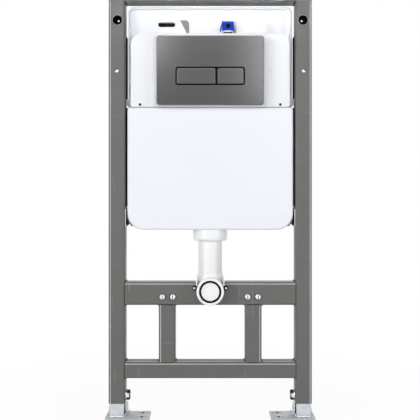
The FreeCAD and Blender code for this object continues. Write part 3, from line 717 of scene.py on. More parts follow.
class Finishes:
    """The finishes of this object, one for each slot of the record, and variants of three of them."""

    FRAME_PAINT = PowderCoat("frame_paint", (0.141, 0.141, 0.136), (0.133, 0.133, 0.128), 0.38, 5.0)
    # Near black welds: painted shade in the grooves and gaps where the rounded tubes meet.
    WELD_DARK = PowderCoat("frame_paint", (0.026, 0.026, 0.025), (0.018, 0.018, 0.017), 0.5, 60.0,
                           variant="weld", edge=(0.07, 0.07, 0.068), dust=(0.05, 0.05, 0.05),
                           highlight_amount=0.0)
    CAP_GREY = MouldedPlastic("cap_grey", (0.155, 0.155, 0.152), (0.142, 0.142, 0.14), 0.48,
                              edge=(0.25, 0.25, 0.25), dust=(0.3, 0.3, 0.29), dust_amount=0.25)
    ZINC = BrightZinc("zinc", (0.66, 0.69, 0.73), (0.55, 0.58, 0.62), 0.3)
    DULL_ZINC = BrightZinc("zinc", (0.44, 0.465, 0.475), (0.36, 0.385, 0.395), 0.5, variant="dull",
                           dull=(0.3, 0.31, 0.31))
    # A whiter copy of the zinc: the bright plating of studs, screws and bolts, lightened further as a
    # painted highlight.
    WHITE_ZINC = BrightZinc("zinc", (0.9, 0.91, 0.925), (0.82, 0.83, 0.845), 0.34, variant="white",
                            dull=(0.6, 0.61, 0.62))
    # A grey that paints the hood's shadow on the cistern.
    HOOD_SHADOW_GREY = MouldedPlastic("cap_grey", (0.37, 0.37, 0.365), (0.3, 0.3, 0.296), 0.75, 40.0,
                                 variant="gasket", edge=(0.5, 0.5, 0.5), dust=(0.4, 0.4, 0.4),
                                 grain_scale=900.0, grain_depth=0.2 * MM, specular=0.1)
    CISTERN_WHITE = MouldedPlastic("cistern_white", (0.85, 0.868, 0.915), (0.835, 0.855, 0.905), 0.42, 6.0,
                                   grain_scale=380.0, grain_depth=0.05 * MM)
    PANEL_WHITE = MouldedPlastic("panel_white", (0.82, 0.832, 0.86), (0.805, 0.818, 0.848), 0.44, 8.0,
                                 coat=0.1)
    PIPE_WHITE = MouldedPlastic("pipe_white", (0.91, 0.916, 0.925), (0.895, 0.902, 0.912), 0.3, 9.0,
                                coat=0.2)
    PLATE_GREY = BrushedMetal("plate_grey", (0.095, 0.095, 0.095), (0.092, 0.092, 0.092), 0.2)
    # Lighter button edges: a painted highlight on their rims.
    BUTTON_GREY = BrushedMetal("button_grey", (0.1, 0.1, 0.1), (0.096, 0.096, 0.096), 0.2,
                               edge=(0.36, 0.36, 0.36))
    CARRIER_BLACK = MouldedPlastic("carrier_black", (0.008, 0.008, 0.008), (0.013, 0.013, 0.013), 0.55,
                                   edge=(0.03, 0.03, 0.03), dust=(0.04, 0.04, 0.04), specular=0.15)
    # Lighter, bluer edges on the valve: a painted highlight.
    VALVE_BLUE = MouldedPlastic("valve_blue", (0.004, 0.045, 0.46), (0.003, 0.035, 0.38), 0.3,
                                edge=(0.01, 0.13, 0.7), dust=(0.03, 0.08, 0.4), edge_amount=0.5,
                                specular=0.08)
    SEAL_BLACK = SoftRubber("seal_black", (0.006, 0.006, 0.006), (0.011, 0.011, 0.011), 0.71)
    CLIP_BLACK = MouldedPlastic("clip_black", (0.008, 0.008, 0.008), (0.014, 0.014, 0.014), 0.5,
                                edge=(0.04, 0.04, 0.04), dust=(0.04, 0.04, 0.04), specular=0.15)


# Modelling by hand
def clear_selection() -> None:
    """Leave edit mode and select nothing."""
    if bpy.context.object and bpy.context.object.mode != "OBJECT":
        bpy.ops.object.mode_set(mode="OBJECT")
    bpy.ops.object.select_all(action="DESELECT")


def start_shaping(name: str) -> bpy.types.Object:
    """Name the primitive that was just added and open it in edit mode.

    Args:
        name: The piece's name.

    Returns:
        The piece.
    """
    piece = bpy.context.object
    piece.name = name
    piece.data.name = name
    bpy.ops.object.transform_apply(location=True, rotation=True, scale=True)
    bpy.ops.object.mode_set(mode="EDIT")
    return piece


def pick_faces(piece: bpy.types.Object, test: Callable[[Vector, Vector], bool]) -> None:
    """Select faces in edit mode by place and direction.

    Args:
        piece: The piece in edit mode.
        test: Takes a face's centre and normal and says whether it is picked.
    """
    bpy.ops.mesh.select_mode(type="FACE")
    bpy.ops.mesh.select_all(action="DESELECT")
    bpy.ops.object.mode_set(mode="OBJECT")
    for face in piece.data.polygons:
        face.select = test(face.center, face.normal)
    bpy.ops.object.mode_set(mode="EDIT")


def pick_edges(piece: bpy.types.Object, test: Callable[[Vector, Vector], bool]) -> None:
    """Select edges in edit mode by their ends.

    Args:
        piece: The piece in edit mode.
        test: Takes an edge's two ends and says whether it is picked.
    """
    bpy.ops.mesh.select_mode(type="EDGE")
    bpy.ops.mesh.select_all(action="DESELECT")
    bpy.ops.object.mode_set(mode="OBJECT")
    points = piece.data.vertices
    for edge in piece.data.edges:
        edge.select = test(points[edge.vertices[0]].co, points[edge.vertices[1]].co)
    bpy.ops.object.mode_set(mode="EDIT")


def end_shaping(piece: bpy.types.Object, angle: float = 40.0) -> bpy.types.Object:
    """Merge doubles, turn all faces outwards and leave edit mode.

    Args:
        piece: The piece in edit mode.
        angle: The angle in degrees over which edges stay sharp.

    Returns:
        The piece.
    """
    bpy.ops.mesh.select_all(action="SELECT")
    bpy.ops.mesh.remove_doubles(threshold=0.01 * MM)
    bpy.ops.mesh.normals_make_consistent(inside=False)
    bpy.ops.object.mode_set(mode="OBJECT")
    bpy.ops.object.shade_smooth_by_angle(angle=math.radians(angle))
    return piece


def copy_at(piece: bpy.types.Object, placing: Matrix) -> bpy.types.Object:
    """Copy a piece with its own mesh and put the place into the mesh.

    Args:
        piece: The modelled piece.
        placing: Where the copy goes.

    Returns:
        The copy.
    """
    copy = piece.copy()
    copy.data = piece.data.copy()
    copy.data.transform(placing)
    bpy.context.scene.collection.objects.link(copy)
    return copy


def join_pieces(pieces: Sequence[bpy.types.Object], name: str) -> bpy.types.Object:
    """Join pieces into one object.

    Args:
        pieces: The pieces, all at the origin.
        name: The name of the joined piece.

    Returns:
        The joined piece.
    """
    clear_selection()
    for piece in pieces:
        piece.select_set(True)
    bpy.context.view_layer.objects.active = pieces[0]
    bpy.ops.object.join()
    joined = bpy.context.object
    joined.name = name
    joined.data.name = name
    return joined


def coat(target: bpy.types.Object, finish: Finish) -> None:
    """Give an object a finish in all its material slots.

    Args:
        target: A CAD node or a new piece.
        finish: The finish.
    """
    if not target.material_slots:
        target.data.materials.append(finish.material())
    for slot in target.material_slots:
        slot.material = finish.material()


def hand_over(piece: bpy.types.Object, body: str, finish: Finish) -> None:
    """Finish a new piece: its coat and the body it rides on.

    Args:
        piece: The new piece.
        body: The CAD body's name.
        finish: Its finish.
    """
    coat(piece, finish)
    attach(piece, body)
    LOG.info("%s: %d faces on %s", piece.name, len(piece.data.polygons), body)


def dress_nodes(names: Iterable[str], finish: Finish) -> None:
    """Give CAD nodes a finish.

    Args:
        names: The nodes' names.
        finish: Their finish.
    """
    for name in names:
        coat(frame["nodes"][name], finish)
        LOG.info("%s: %s", name, finish.slot)


def record_row(rows: Iterable[dict], name: str) -> dict:
    """Find a row of the record, such as a mount or an opening, by its name."""
    return next(row for row in rows if row["name"] == name)


def grooved_pad(name: str, across: Span, deep: Span, upright: Span, groove: float) -> bpy.types.Object:
    """Shape a pad: a cube with eased edges and a sunk front.

    Args:
        name: The pad's name.
        across: Its two ends in X, in either order.
        deep: Its two ends in Y.
        upright: Its two ends in Z.
        groove: How far its front is sunk. The front's edges are eased by a quarter of that.

    Returns:
        The pad.
    """
    low = Vector([min(span) for span in (across, deep, upright)])
    high = Vector([max(span) for span in (across, deep, upright)])
    clear_selection()
    bpy.ops.mesh.primitive_cube_add(size=1, location=(low + high) / 2, scale=high - low)
    piece = start_shaping(name)
    pick_faces(piece, lambda centre, normal: normal.y < -0.9)
    bpy.ops.mesh.inset(thickness=groove)
    bpy.ops.mesh.extrude_region_move(TRANSFORM_OT_translate={"value": (0, groove, 0)})
    pick_edges(piece, lambda a, b: a.y < low.y + groove / 2 and b.y < low.y + groove / 2)
    bpy.ops.mesh.bevel(offset=groove / 4, segments=2)
    return end_shaping(piece)


# Welds and threads
@dataclass
class WeldBead:
    """A rippled weld bead, modelled once along X about the origin and copied into each joint."""

    length: float = 30.0 * MM
    radius: float = 2.1 * MM
    ripples: int = 11
    waist: float = 0.84
    tip: float = 0.35
    corners: int = 10

    def model(self) -> bpy.types.Object:
        """Shape the bead by extruding a round face and swelling it at each ripple.

        Returns:
            The bead.
        """
        clear_selection()
        step = self.length / (2 * self.ripples + 2)
        place = -self.length / 2
        bpy.ops.mesh.primitive_circle_add(vertices=self.corners, radius=self.tip * self.radius,
                                          fill_type="NGON", location=(place, 0, 0),
                                          rotation=(0, math.pi / 2, 0))
        piece = start_shaping("weld_bead")
        bpy.ops.mesh.select_all(action="SELECT")
        size = self.tip
        wanted = [1.0 if turn % 2 == 0 else self.waist for turn in range(2 * self.ripples + 1)]
        for target in wanted + [self.tip]:
            place += step
            bpy.ops.mesh.extrude_region_move(TRANSFORM_OT_translate={"value": (step, 0, 0)})
            ratio = target / size
            bpy.ops.transform.resize(value=(1, ratio, ratio), center_override=(place, 0, 0))
            size = target
        return end_shaping(piece, 75.0)


@dataclass
class ScrewThread:
    """A helical ridge round a rod that stands along Z from the origin."""

    rod_radius: float
    length: float
    pitch: float
    ridge: float
    sink: float = 0.4
    steps: int = 24

    def model(self) -> bpy.types.Object:
        """Shape the ridge by screwing a three-cornered section up the rod and closing its ends.

        Returns:
            The ridge.
        """
        clear_selection()
        bpy.ops.mesh.primitive_circle_add(vertices=3, radius=self.ridge, fill_type="NOTHING",
                                          location=(self.rod_radius - self.sink * self.ridge, 0, 0),
                                          rotation=(math.pi / 2, math.pi / 2, 0))
        piece = start_shaping("screw_thread")
        bpy.ops.object.mode_set(mode="OBJECT")
        screw = piece.modifiers.new("thread", "SCREW")
        screw.axis = "Z"
        screw.angle = 2 * math.pi
        screw.screw_offset = self.pitch
        screw.iterations = max(1, int(self.length / self.pitch))
        screw.steps = self.steps
        screw.render_steps = self.steps
        bpy.ops.object.modifier_apply(modifier=screw.name)
        bpy.ops.object.mode_set(mode="EDIT")
        bpy.ops.mesh.select_all(action="SELECT")
        bpy.ops.mesh.fill_holes(sides=3)
        return end_shaping(piece, 30.0)


@dataclass
class RolledRim:
    """A rolled lip round a hole in a wall that faces -Y, modelled about the origin."""

    radius: float
    width: float
    rise: float
    sink: float = 0.3
    corners: int = 48
    section_corners: int = 12

    def model(self) -> bpy.types.Object:
        """Shape the lip from a ring that is cut along the wall and flattened.

        Returns:
            The lip.
        """
        clear_selection()
        bpy.ops.mesh.primitive_torus_add(major_radius=self.radius, minor_radius=self.width / 2,
                                         major_segments=self.corners, minor_segments=self.section_corners,
                                         rotation=(math.pi / 2, 0, 0))
        piece = start_shaping("rolled_rim")
        bpy.ops.mesh.select_all(action="SELECT")
        bpy.ops.transform.resize(value=(1, 2 * self.rise / self.width, 1), center_override=(0, 0, 0))
        bpy.ops.mesh.bisect(plane_co=(0, self.sink * self.rise, 0), plane_no=(0, 1, 0), clear_outer=True,
                            use_fill=True)
        return end_shaping(piece)


@dataclass
class FlatRing:
    """A ring with flat faces, modelled from the origin along Y."""

    inner: float
    outer: float
    thickness: float
    corners: int = 40

    def model(self) -> bpy.types.Object:
        """Shape the ring by extruding a circle outwards and then back.

        Returns:
            The ring.
        """
        clear_selection()
        bpy.ops.mesh.primitive_circle_add(vertices=self.corners, radius=self.inner, fill_type="NOTHING",
                                          rotation=(math.pi / 2, 0, 0))
        piece = start_shaping("flat_ring")
        bpy.ops.mesh.select_all(action="SELECT")
        bpy.ops.mesh.extrude_region_move()
        ratio = self.outer / self.inner
        bpy.ops.transform.resize(value=(ratio, 1, ratio), center_override=(0, 0, 0))
        bpy.ops.mesh.select_all(action="SELECT")
        bpy.ops.mesh.extrude_region_move(TRANSFORM_OT_translate={"value": (0, self.thickness, 0)})
        return end_shaping(piece)

    def set_at(self, places: Sequence[Place], name: str, axis: Axis = Axis.Y) -> bpy.types.Object:
        """Model the ring once, copy it to its places and join the copies.

        Args:
            places: Where the copies start.
            name: The name of the joined piece.
            axis: The direction that the rings run along.

        Returns:
            The joined rings.
        """
        ring = self.model()
        turn = axis.turn_from(Axis.Y)
        copies = [copy_at(ring, Matrix.Translation(place) @ turn) for place in places]
        bpy.data.objects.remove(ring)
        return join_pieces(copies, name)


@dataclass(frozen=True)
class WeldRun:
    """Where a weld bead lies: its middle, axis and length, and its girth beside the modelled bead's."""

    middle: Place
    axis: Axis
    length: float
    girth: float = 1.0


@dataclass(frozen=True)
class PadRun:
    """One length of a black strip of painted shade: its lower and upper end and how far it reaches towards
    the middle.
    """

    bottom: float
    top: float
    reach: float


# Sub-assemblies
@dataclass
class SteelFrame:
    """The painted posts, rails, struts and brackets, their caps and their welds."""

    weld_sink: float = 0.5 * MM
    corner: float = 6.0 * MM
    access_hole_radius: float = 11.5 * MM
    access_hole_drop: float = 52.5 * MM
    access_hole_inset: float = 2.0 * MM
    rim_width: float = 2.2 * MM
    rim_lap: float = 0.88 * MM
    rim_rise: float = 0.7 * MM
    groove_depth: float = 2.5 * MM
    groove_sink: float = 0.7 * MM
    groove_girth: float = 0.75
    post_wall: float = 2.0 * MM
    backing_hole: float = 2.3 * MM
    backing_lift: float = 0.8 * MM
    backing_radius: float = 17.0 * MM
    backing_sheet: float = 1.2 * MM
    edge_width: float = 1.3 * MM
    edge_depth: float = 0.8 * MM
    edge_drop: float = 5.0 * MM
    # The black steps in the gap between bracket and cistern, painted shade.
    gap_shade_depth: float = 8.0 * MM
    cushion_steps: tuple[PadRun, ...] = (PadRun(0.480, 0.500, 3.8 * MM), PadRun(0.467, 0.480, 6.4 * MM))

    def dress(self) -> None:
        """Coat the steel and the caps."""
        painted = ["top_rail", "lower_rail"]
        caps = []
        for side in Side:
            painted += [side.word + name for name in ("_post", "_bolt_rail", "_strut", "_tank_bracket")]
            caps.append(side.word + "_post_cap")
        dress_nodes(painted, Finishes.FRAME_PAINT)
        dress_nodes(caps, Finishes.CAP_GREY)

    def weld_runs(self, side: Side) -> list[WeldRun]:
        """List the welds on one side.

        Args:
            side: Which side of the frame.

        Returns:
            The runs of the beads, among them the thin ones in the grooves between the rounded tubes, their
            near black painting the shade.
        """
        runs = []
        post_low, post_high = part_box(side.word + "_post")
        face = post_high.x if side is Side.LEFT else post_low.x
        inner = face - side.value * self.weld_sink
        middle_y = (post_low.y + post_high.y) / 2
        groove_y = post_low.y + self.groove_depth
        run = post_high.y - post_low.y - 2 * self.corner
        for name in (side.word + "_bolt_rail", "lower_rail"):
            low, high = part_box(name)
            for height in (low.z - self.weld_sink, high.z + self.weld_sink):
                runs.append(WeldRun((inner, middle_y, height), Axis.Y, run))
            middle_z = (low.z + high.z) / 2
            upright = high.z - low.z - 2 * self.corner
            runs.append(WeldRun((inner, high.y - self.weld_sink, middle_z), Axis.Z, upright))
            # A thin near-black bead in the groove between the post's rounded corner and the rail: painted
            # shade.
            groove_x = face + side.value * self.groove_sink
            runs.append(WeldRun((groove_x, groove_y, middle_z), Axis.Z, high.z - low.z, self.groove_girth))
        rail_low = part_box("top_rail")[0]
        runs.append(WeldRun((inner, middle_y, rail_low.z - self.weld_sink), Axis.Y, run))
        low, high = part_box(side.word + "_strut")
        middle_x = (low.x + high.x) / 2
        for height in (low.z + self.weld_sink, high.z - self.weld_sink):
            for edge in (low.x - self.weld_sink, high.x + self.weld_sink):
                runs.append(WeldRun((edge, middle_y, height), Axis.Y, run))
            runs.append(WeldRun((middle_x, high.y - self.weld_sink, height), Axis.X, run))
        for height in (low.z - self.groove_sink, high.z + self.groove_sink):
            runs.append(WeldRun((middle_x, groove_y, height), Axis.X, run, self.groove_girth))
        return runs

    def welds(self, bead: bpy.types.Object, side: Side) -> None:
        """Lay the welds on one side, near black as painted shade at the joints.

        Args:
            bead: The modelled weld bead.
            side: Which side of the frame.
        """
        copies = []
        for run in self.weld_runs(side):
            stretch = Matrix.Diagonal((run.length / WeldBead.length, run.girth, run.girth, 1.0))
            turn = run.axis.turn_from(Axis.X)
            copies.append(copy_at(bead, Matrix.Translation(run.middle) @ turn @ stretch))
        hand_over(join_pieces(copies, side.word + "_frame_welds"), "frame", Finishes.WELD_DARK)

    def access_hole(self, side: Side) -> None:
        """Roll the rim of a post's access hole and set a black ring round its wall screw inside the post,
        painted shade that darkens the hole.

        Args:
            side: Which post.
        """
        low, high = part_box(side.word + "_post")
        rim = RolledRim(self.access_hole_radius + self.rim_lap, self.rim_width, self.rim_rise).model()
        x = (low.x + high.x) / 2 - side.value * self.access_hole_inset
        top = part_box("top_rail")[1].z
        rim.data.transform(Matrix.Translation((x, low.y, top - self.access_hole_drop)))
        rim.name = side.word + "_access_rim"
        hand_over(rim, "frame", Finishes.FRAME_PAINT)
        screw = record_row(frame["record"]["mounts"], side.word + "_wall_screw")["pos_m"]
        start = high.y - self.post_wall - self.backing_sheet
        place = (screw[0], start, screw[2] + self.backing_lift)
        # The black ring paints the shade inside the hole.
        washer = FlatRing(self.backing_hole, self.backing_radius, self.backing_sheet)
        hand_over(washer.set_at([place], side.word + "_screw_washer"), "frame", Finishes.CARRIER_BLACK)

    def bracket(self, side: Side) -> None:
        """Trim a bracket: a strip of the whiter zinc on the front edge of its flange, and black steps in
        the gap between it and the cistern, painted shade.

        Args:
            side: Which bracket.
        """
        low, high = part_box(side.word + "_tank_bracket")
        face = high.x if side is Side.RIGHT else low.x
        inside = face - side.value * self.edge_width
        front = low.y - self.edge_depth
        piece = grooved_pad(side.word + "_bracket_edge", (face, inside), (front, low.y),
                            (low.z, high.z - self.edge_drop), FINE_GROOVE)
        hand_over(piece, "frame", Finishes.WHITE_ZINC)
        steps = []
        for step in self.cushion_steps:
            far = inside - side.value * step.reach
            steps.append(grooved_pad("cushion_step", (inside, far), (front, front + self.gap_shade_depth),
                                     (step.bottom, step.top), SOFT_GROOVE))
        hand_over(join_pieces(steps, side.word + "_bracket_cushion"), "frame", Finishes.SEAL_BLACK)

    def build(self, bead: bpy.types.Object) -> None:
        """Add the welds and what trims the holes and the brackets.

        Args:
            bead: The modelled weld bead.
        """
        for side in Side:
            self.welds(bead, side)
            self.access_hole(side)
            self.bracket(side)


@dataclass
class Foot:
    """One telescopic foot: its leg, floor plate and upright screw, with welds, thread and black pieces that
    paint shade in its holes, its slot and round its lock bolt.
    """

    side: Side
    leg_corner: float = 4.0 * MM
    weld_rise: float = 0.6 * MM
    screw_radius: float = 3.5 * MM
    screw_pitch: float = 1.5 * MM
    ridge: float = 0.5 * MM
    thread_lead: float = 0.6 * MM
    nut_height: float = 5.0 * MM
    # The black rings in the plate's holes, painted shade.
    hole_shade_wall: float = 0.9 * MM
    hole_shade_gap: float = 0.3 * MM
    # The black strip in the leg's slot, painted shade on the leg's inner side.
    shade_strip_half: float = 10.5 * MM
    shade_strip_sink: float = 0.6 * MM
    shade_strip_proud: float = 0.25 * MM
    slide_foot: float = 2.0 * MM
    shade_strip_head: float = 10.0 * MM
    # The black rings and bars round the lock bolt, painted shade about its bright head.
    bolt_shade_hole: float = 4.5 * MM
    bolt_shade_radius: float = 11.4 * MM
    bolt_shade_sheet: float = 1.4 * MM
    retainer_bar: float = 2.1 * MM
    bolt_shade_half: float = 5.0 * MM
    flange_hole: float = 9.3 * MM
    flange_radius: float = 12.2 * MM
    flange_sheet: float = 2.8 * MM

    def dress(self) -> None:
        """Coat the foot and its lock bolt with zinc, duller on the plate, whiter on screw and bolt, the
        whiter zinc partly a painted highlight.
        """
        dress_nodes([self.side.word + "_leg"], Finishes.ZINC)
        dress_nodes([self.side.word + name for name in ("_foot_screw", "_lock_bolt")], Finishes.WHITE_ZINC)
        dress_nodes([self.side.word + "_foot_plate"], Finishes.DULL_ZINC)

    def build(self, bead: bpy.types.Object) -> None:
        """Weld the leg to its plate, cut the screw's thread and add the black pieces of painted shade.

        Args:
            bead: The modelled weld bead.
        """
        low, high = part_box(self.side.word + "_leg")
        body = self.side.word + "_foot"
        middle = (low + high) / 2
        height = low.z + self.weld_rise
        span = high.x - low.x - self.leg_corner
        places = [((middle.x, low.y, height), Axis.X), ((middle.x, high.y, height), Axis.X),
                  ((low.x, middle.y, height), Axis.Y), ((high.x, middle.y, height), Axis.Y)]
        stretch = Matrix.Scale(span / WeldBead.length, 4, Axis.X.value)
        copies = [copy_at(bead, Matrix.Translation(place) @ axis.turn_from(Axis.X) @ stretch)
                  for place, axis in places]
        hand_over(join_pieces(copies, body + "_welds"), body, Finishes.ZINC)
        low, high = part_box(self.side.word + "_foot_screw")
        middle = (low + high) / 2
        start = low.z + self.nut_height
        run = high.z - start - self.screw_pitch
        thread = ScrewThread(self.screw_radius, run, self.screw_pitch, self.ridge).model()
        thread.data.transform(Matrix.Translation((middle.x, middle.y, start + self.thread_lead)))
        thread.name = body + "_screw_thread"
        hand_over(thread, body, Finishes.WHITE_ZINC)
        self.grommets(body)
        self.slide(body)
        self.bolt_shades()

    def grommets(self, body: str) -> None:
        """Line the floor holes of the plate with black rings, painted shade that darkens the holes.

        Args:
            body: The foot's body.
        """
        bolts = record_row(frame["record"]["mounts"], self.side.word + "_floor_bolts")
        x, y, middle = bolts["pos_m"]
        radius = bolts["dims"]["hole_r_mm"] * MM
        step = bolts["dims"]["spacing_y_mm"] * MM / 2
        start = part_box(self.side.word + "_foot_plate")[0].z + self.hole_shade_gap
        places = [(x, y - step, start), (x, y + step, start)]
        ring = FlatRing(radius - self.hole_shade_wall, radius, 2 * (middle - start))
        hand_over(ring.set_at(places, body + "_grommets", Axis.Z), body, Finishes.CLIP_BLACK)

    def slide(self, body: str) -> None:
        """Fill the slot in the leg's inner face with a black strip, painted shade on the leg's inner side.

        Args:
            body: The foot's body.
        """
        low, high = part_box(self.side.word + "_leg")
        face = low.x if self.side is Side.RIGHT else high.x
        proud = face - self.side.value * self.shade_strip_proud
        sunk = face + self.side.value * self.shade_strip_sink
        middle = (low.y + high.y) / 2
        deep = (middle - self.shade_strip_half, middle + self.shade_strip_half)
        piece = grooved_pad(body + "_slide", (proud, sunk), deep,
                            (low.z + self.slide_foot, high.z - self.shade_strip_head), FINE_GROOVE)
        hand_over(piece, body, Finishes.SEAL_BLACK)

    def bolt_shades(self) -> None:
        """Set black pieces round the lock bolt, painted shade about its bright head: a ring at each end and
        a bar above and below.
        """
        low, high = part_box(self.side.word + "_lock_bolt")
        middle = (low + high) / 2
        if self.side is Side.LEFT:
            seat = low.x
            cap = high.x - self.bolt_shade_sheet
        else:
            seat = high.x - self.flange_sheet
            cap = low.x
        seat_ring = FlatRing(self.flange_hole, self.flange_radius, self.flange_sheet)
        cap_ring = FlatRing(self.bolt_shade_hole, self.bolt_shade_radius, self.bolt_shade_sheet)
        pieces = [seat_ring.set_at([(seat, middle.y, middle.z)], "seat_ring", Axis.X),
                  cap_ring.set_at([(cap, middle.y, middle.z)], "cap_ring", Axis.X)]
        across = (low.x + self.bolt_shade_sheet, high.x - self.bolt_shade_sheet)
        deep = (middle.y - self.bolt_shade_half, middle.y + self.bolt_shade_half)
        for way in (1, -1):
            outer = middle.z + way * self.bolt_shade_radius
            pieces.append(grooved_pad("retainer_bar", across, deep,
                                      (outer, outer - way * self.retainer_bar), SOFT_GROOVE))
        hand_over(join_pieces(pieces, self.side.word + "_bolt_retainer"), "frame", Finishes.CLIP_BLACK)


@dataclass
class PanStuds:
    """The four studs that carry the pan, with threads, and black rings in their holes and black fill in
    their slots as painted shade.
    """

    radius: float = 6.0 * MM
    reach: float = 8.0 * MM
    chamfer: float = 1.0 * MM
    pitch: float = 1.75 * MM
    ridge: float = 0.3 * MM
    hole_radius: float = 8.0 * MM
    # The black rings in the holes and the black fill in the slots paint their shade.
    shade_gap: float = 0.1 * MM
    shade_front: float = 0.5 * MM
    shade_depth: float = 3.3 * MM
    slot_width: float = 1.5 * MM
    slot_rise: float = 5.6 * MM
    slot_front: float = 0.5 * MM
    slot_back: float = 2.5 * MM

    def dress(self) -> None:
        """Coat the studs with the whiter zinc, partly a painted highlight."""
        dress_nodes([side.word + "_pan_studs" for side in Side], Finishes.WHITE_ZINC)

    def build(self) -> None:
        """Cut one thread and copy it onto each stud, then add the black rings in the holes and the black
        fill in the slots, both painted shade.
        """
        run = self.reach - self.chamfer
        thread = ScrewThread(self.radius, run, self.pitch, self.ridge).model()
        for side in Side:
            low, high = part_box(side.word + "_pan_studs")
            height = (low.z + high.z) / 2
            flats = (high.z - low.z) / math.sqrt(3)
            face = low.y + self.reach
            copies = []
            slots = []
            shade_places = []
            for x in (low.x + flats, high.x - flats):
                placing = Matrix.Translation((x, face, height)) @ Matrix.Rotation(math.pi / 2, 4, "X")
                copies.append(copy_at(thread, placing))
                slots.append(grooved_pad("stud_slot", (x - self.slot_width / 2, x + self.slot_width / 2),
                                         (low.y + self.slot_front, low.y + self.slot_back),
                                         (height - self.slot_rise, height + self.slot_rise), FINE_GROOVE))
                shade_places.append((x, face - self.shade_front, height))
            hand_over(join_pieces(copies, side.word + "_stud_threads"), "frame", Finishes.WHITE_ZINC)
            hand_over(join_pieces(slots, side.word + "_stud_slots"), "frame", Finishes.CLIP_BLACK)
            shade_ring = FlatRing(self.radius + self.shade_gap, self.hole_radius - self.shade_gap,
                              self.shade_depth)
            hand_over(shade_ring.set_at(shade_places, side.word + "_stud_sleeves"), "frame", Finishes.CLIP_BLACK)
        bpy.data.objects.remove(thread)


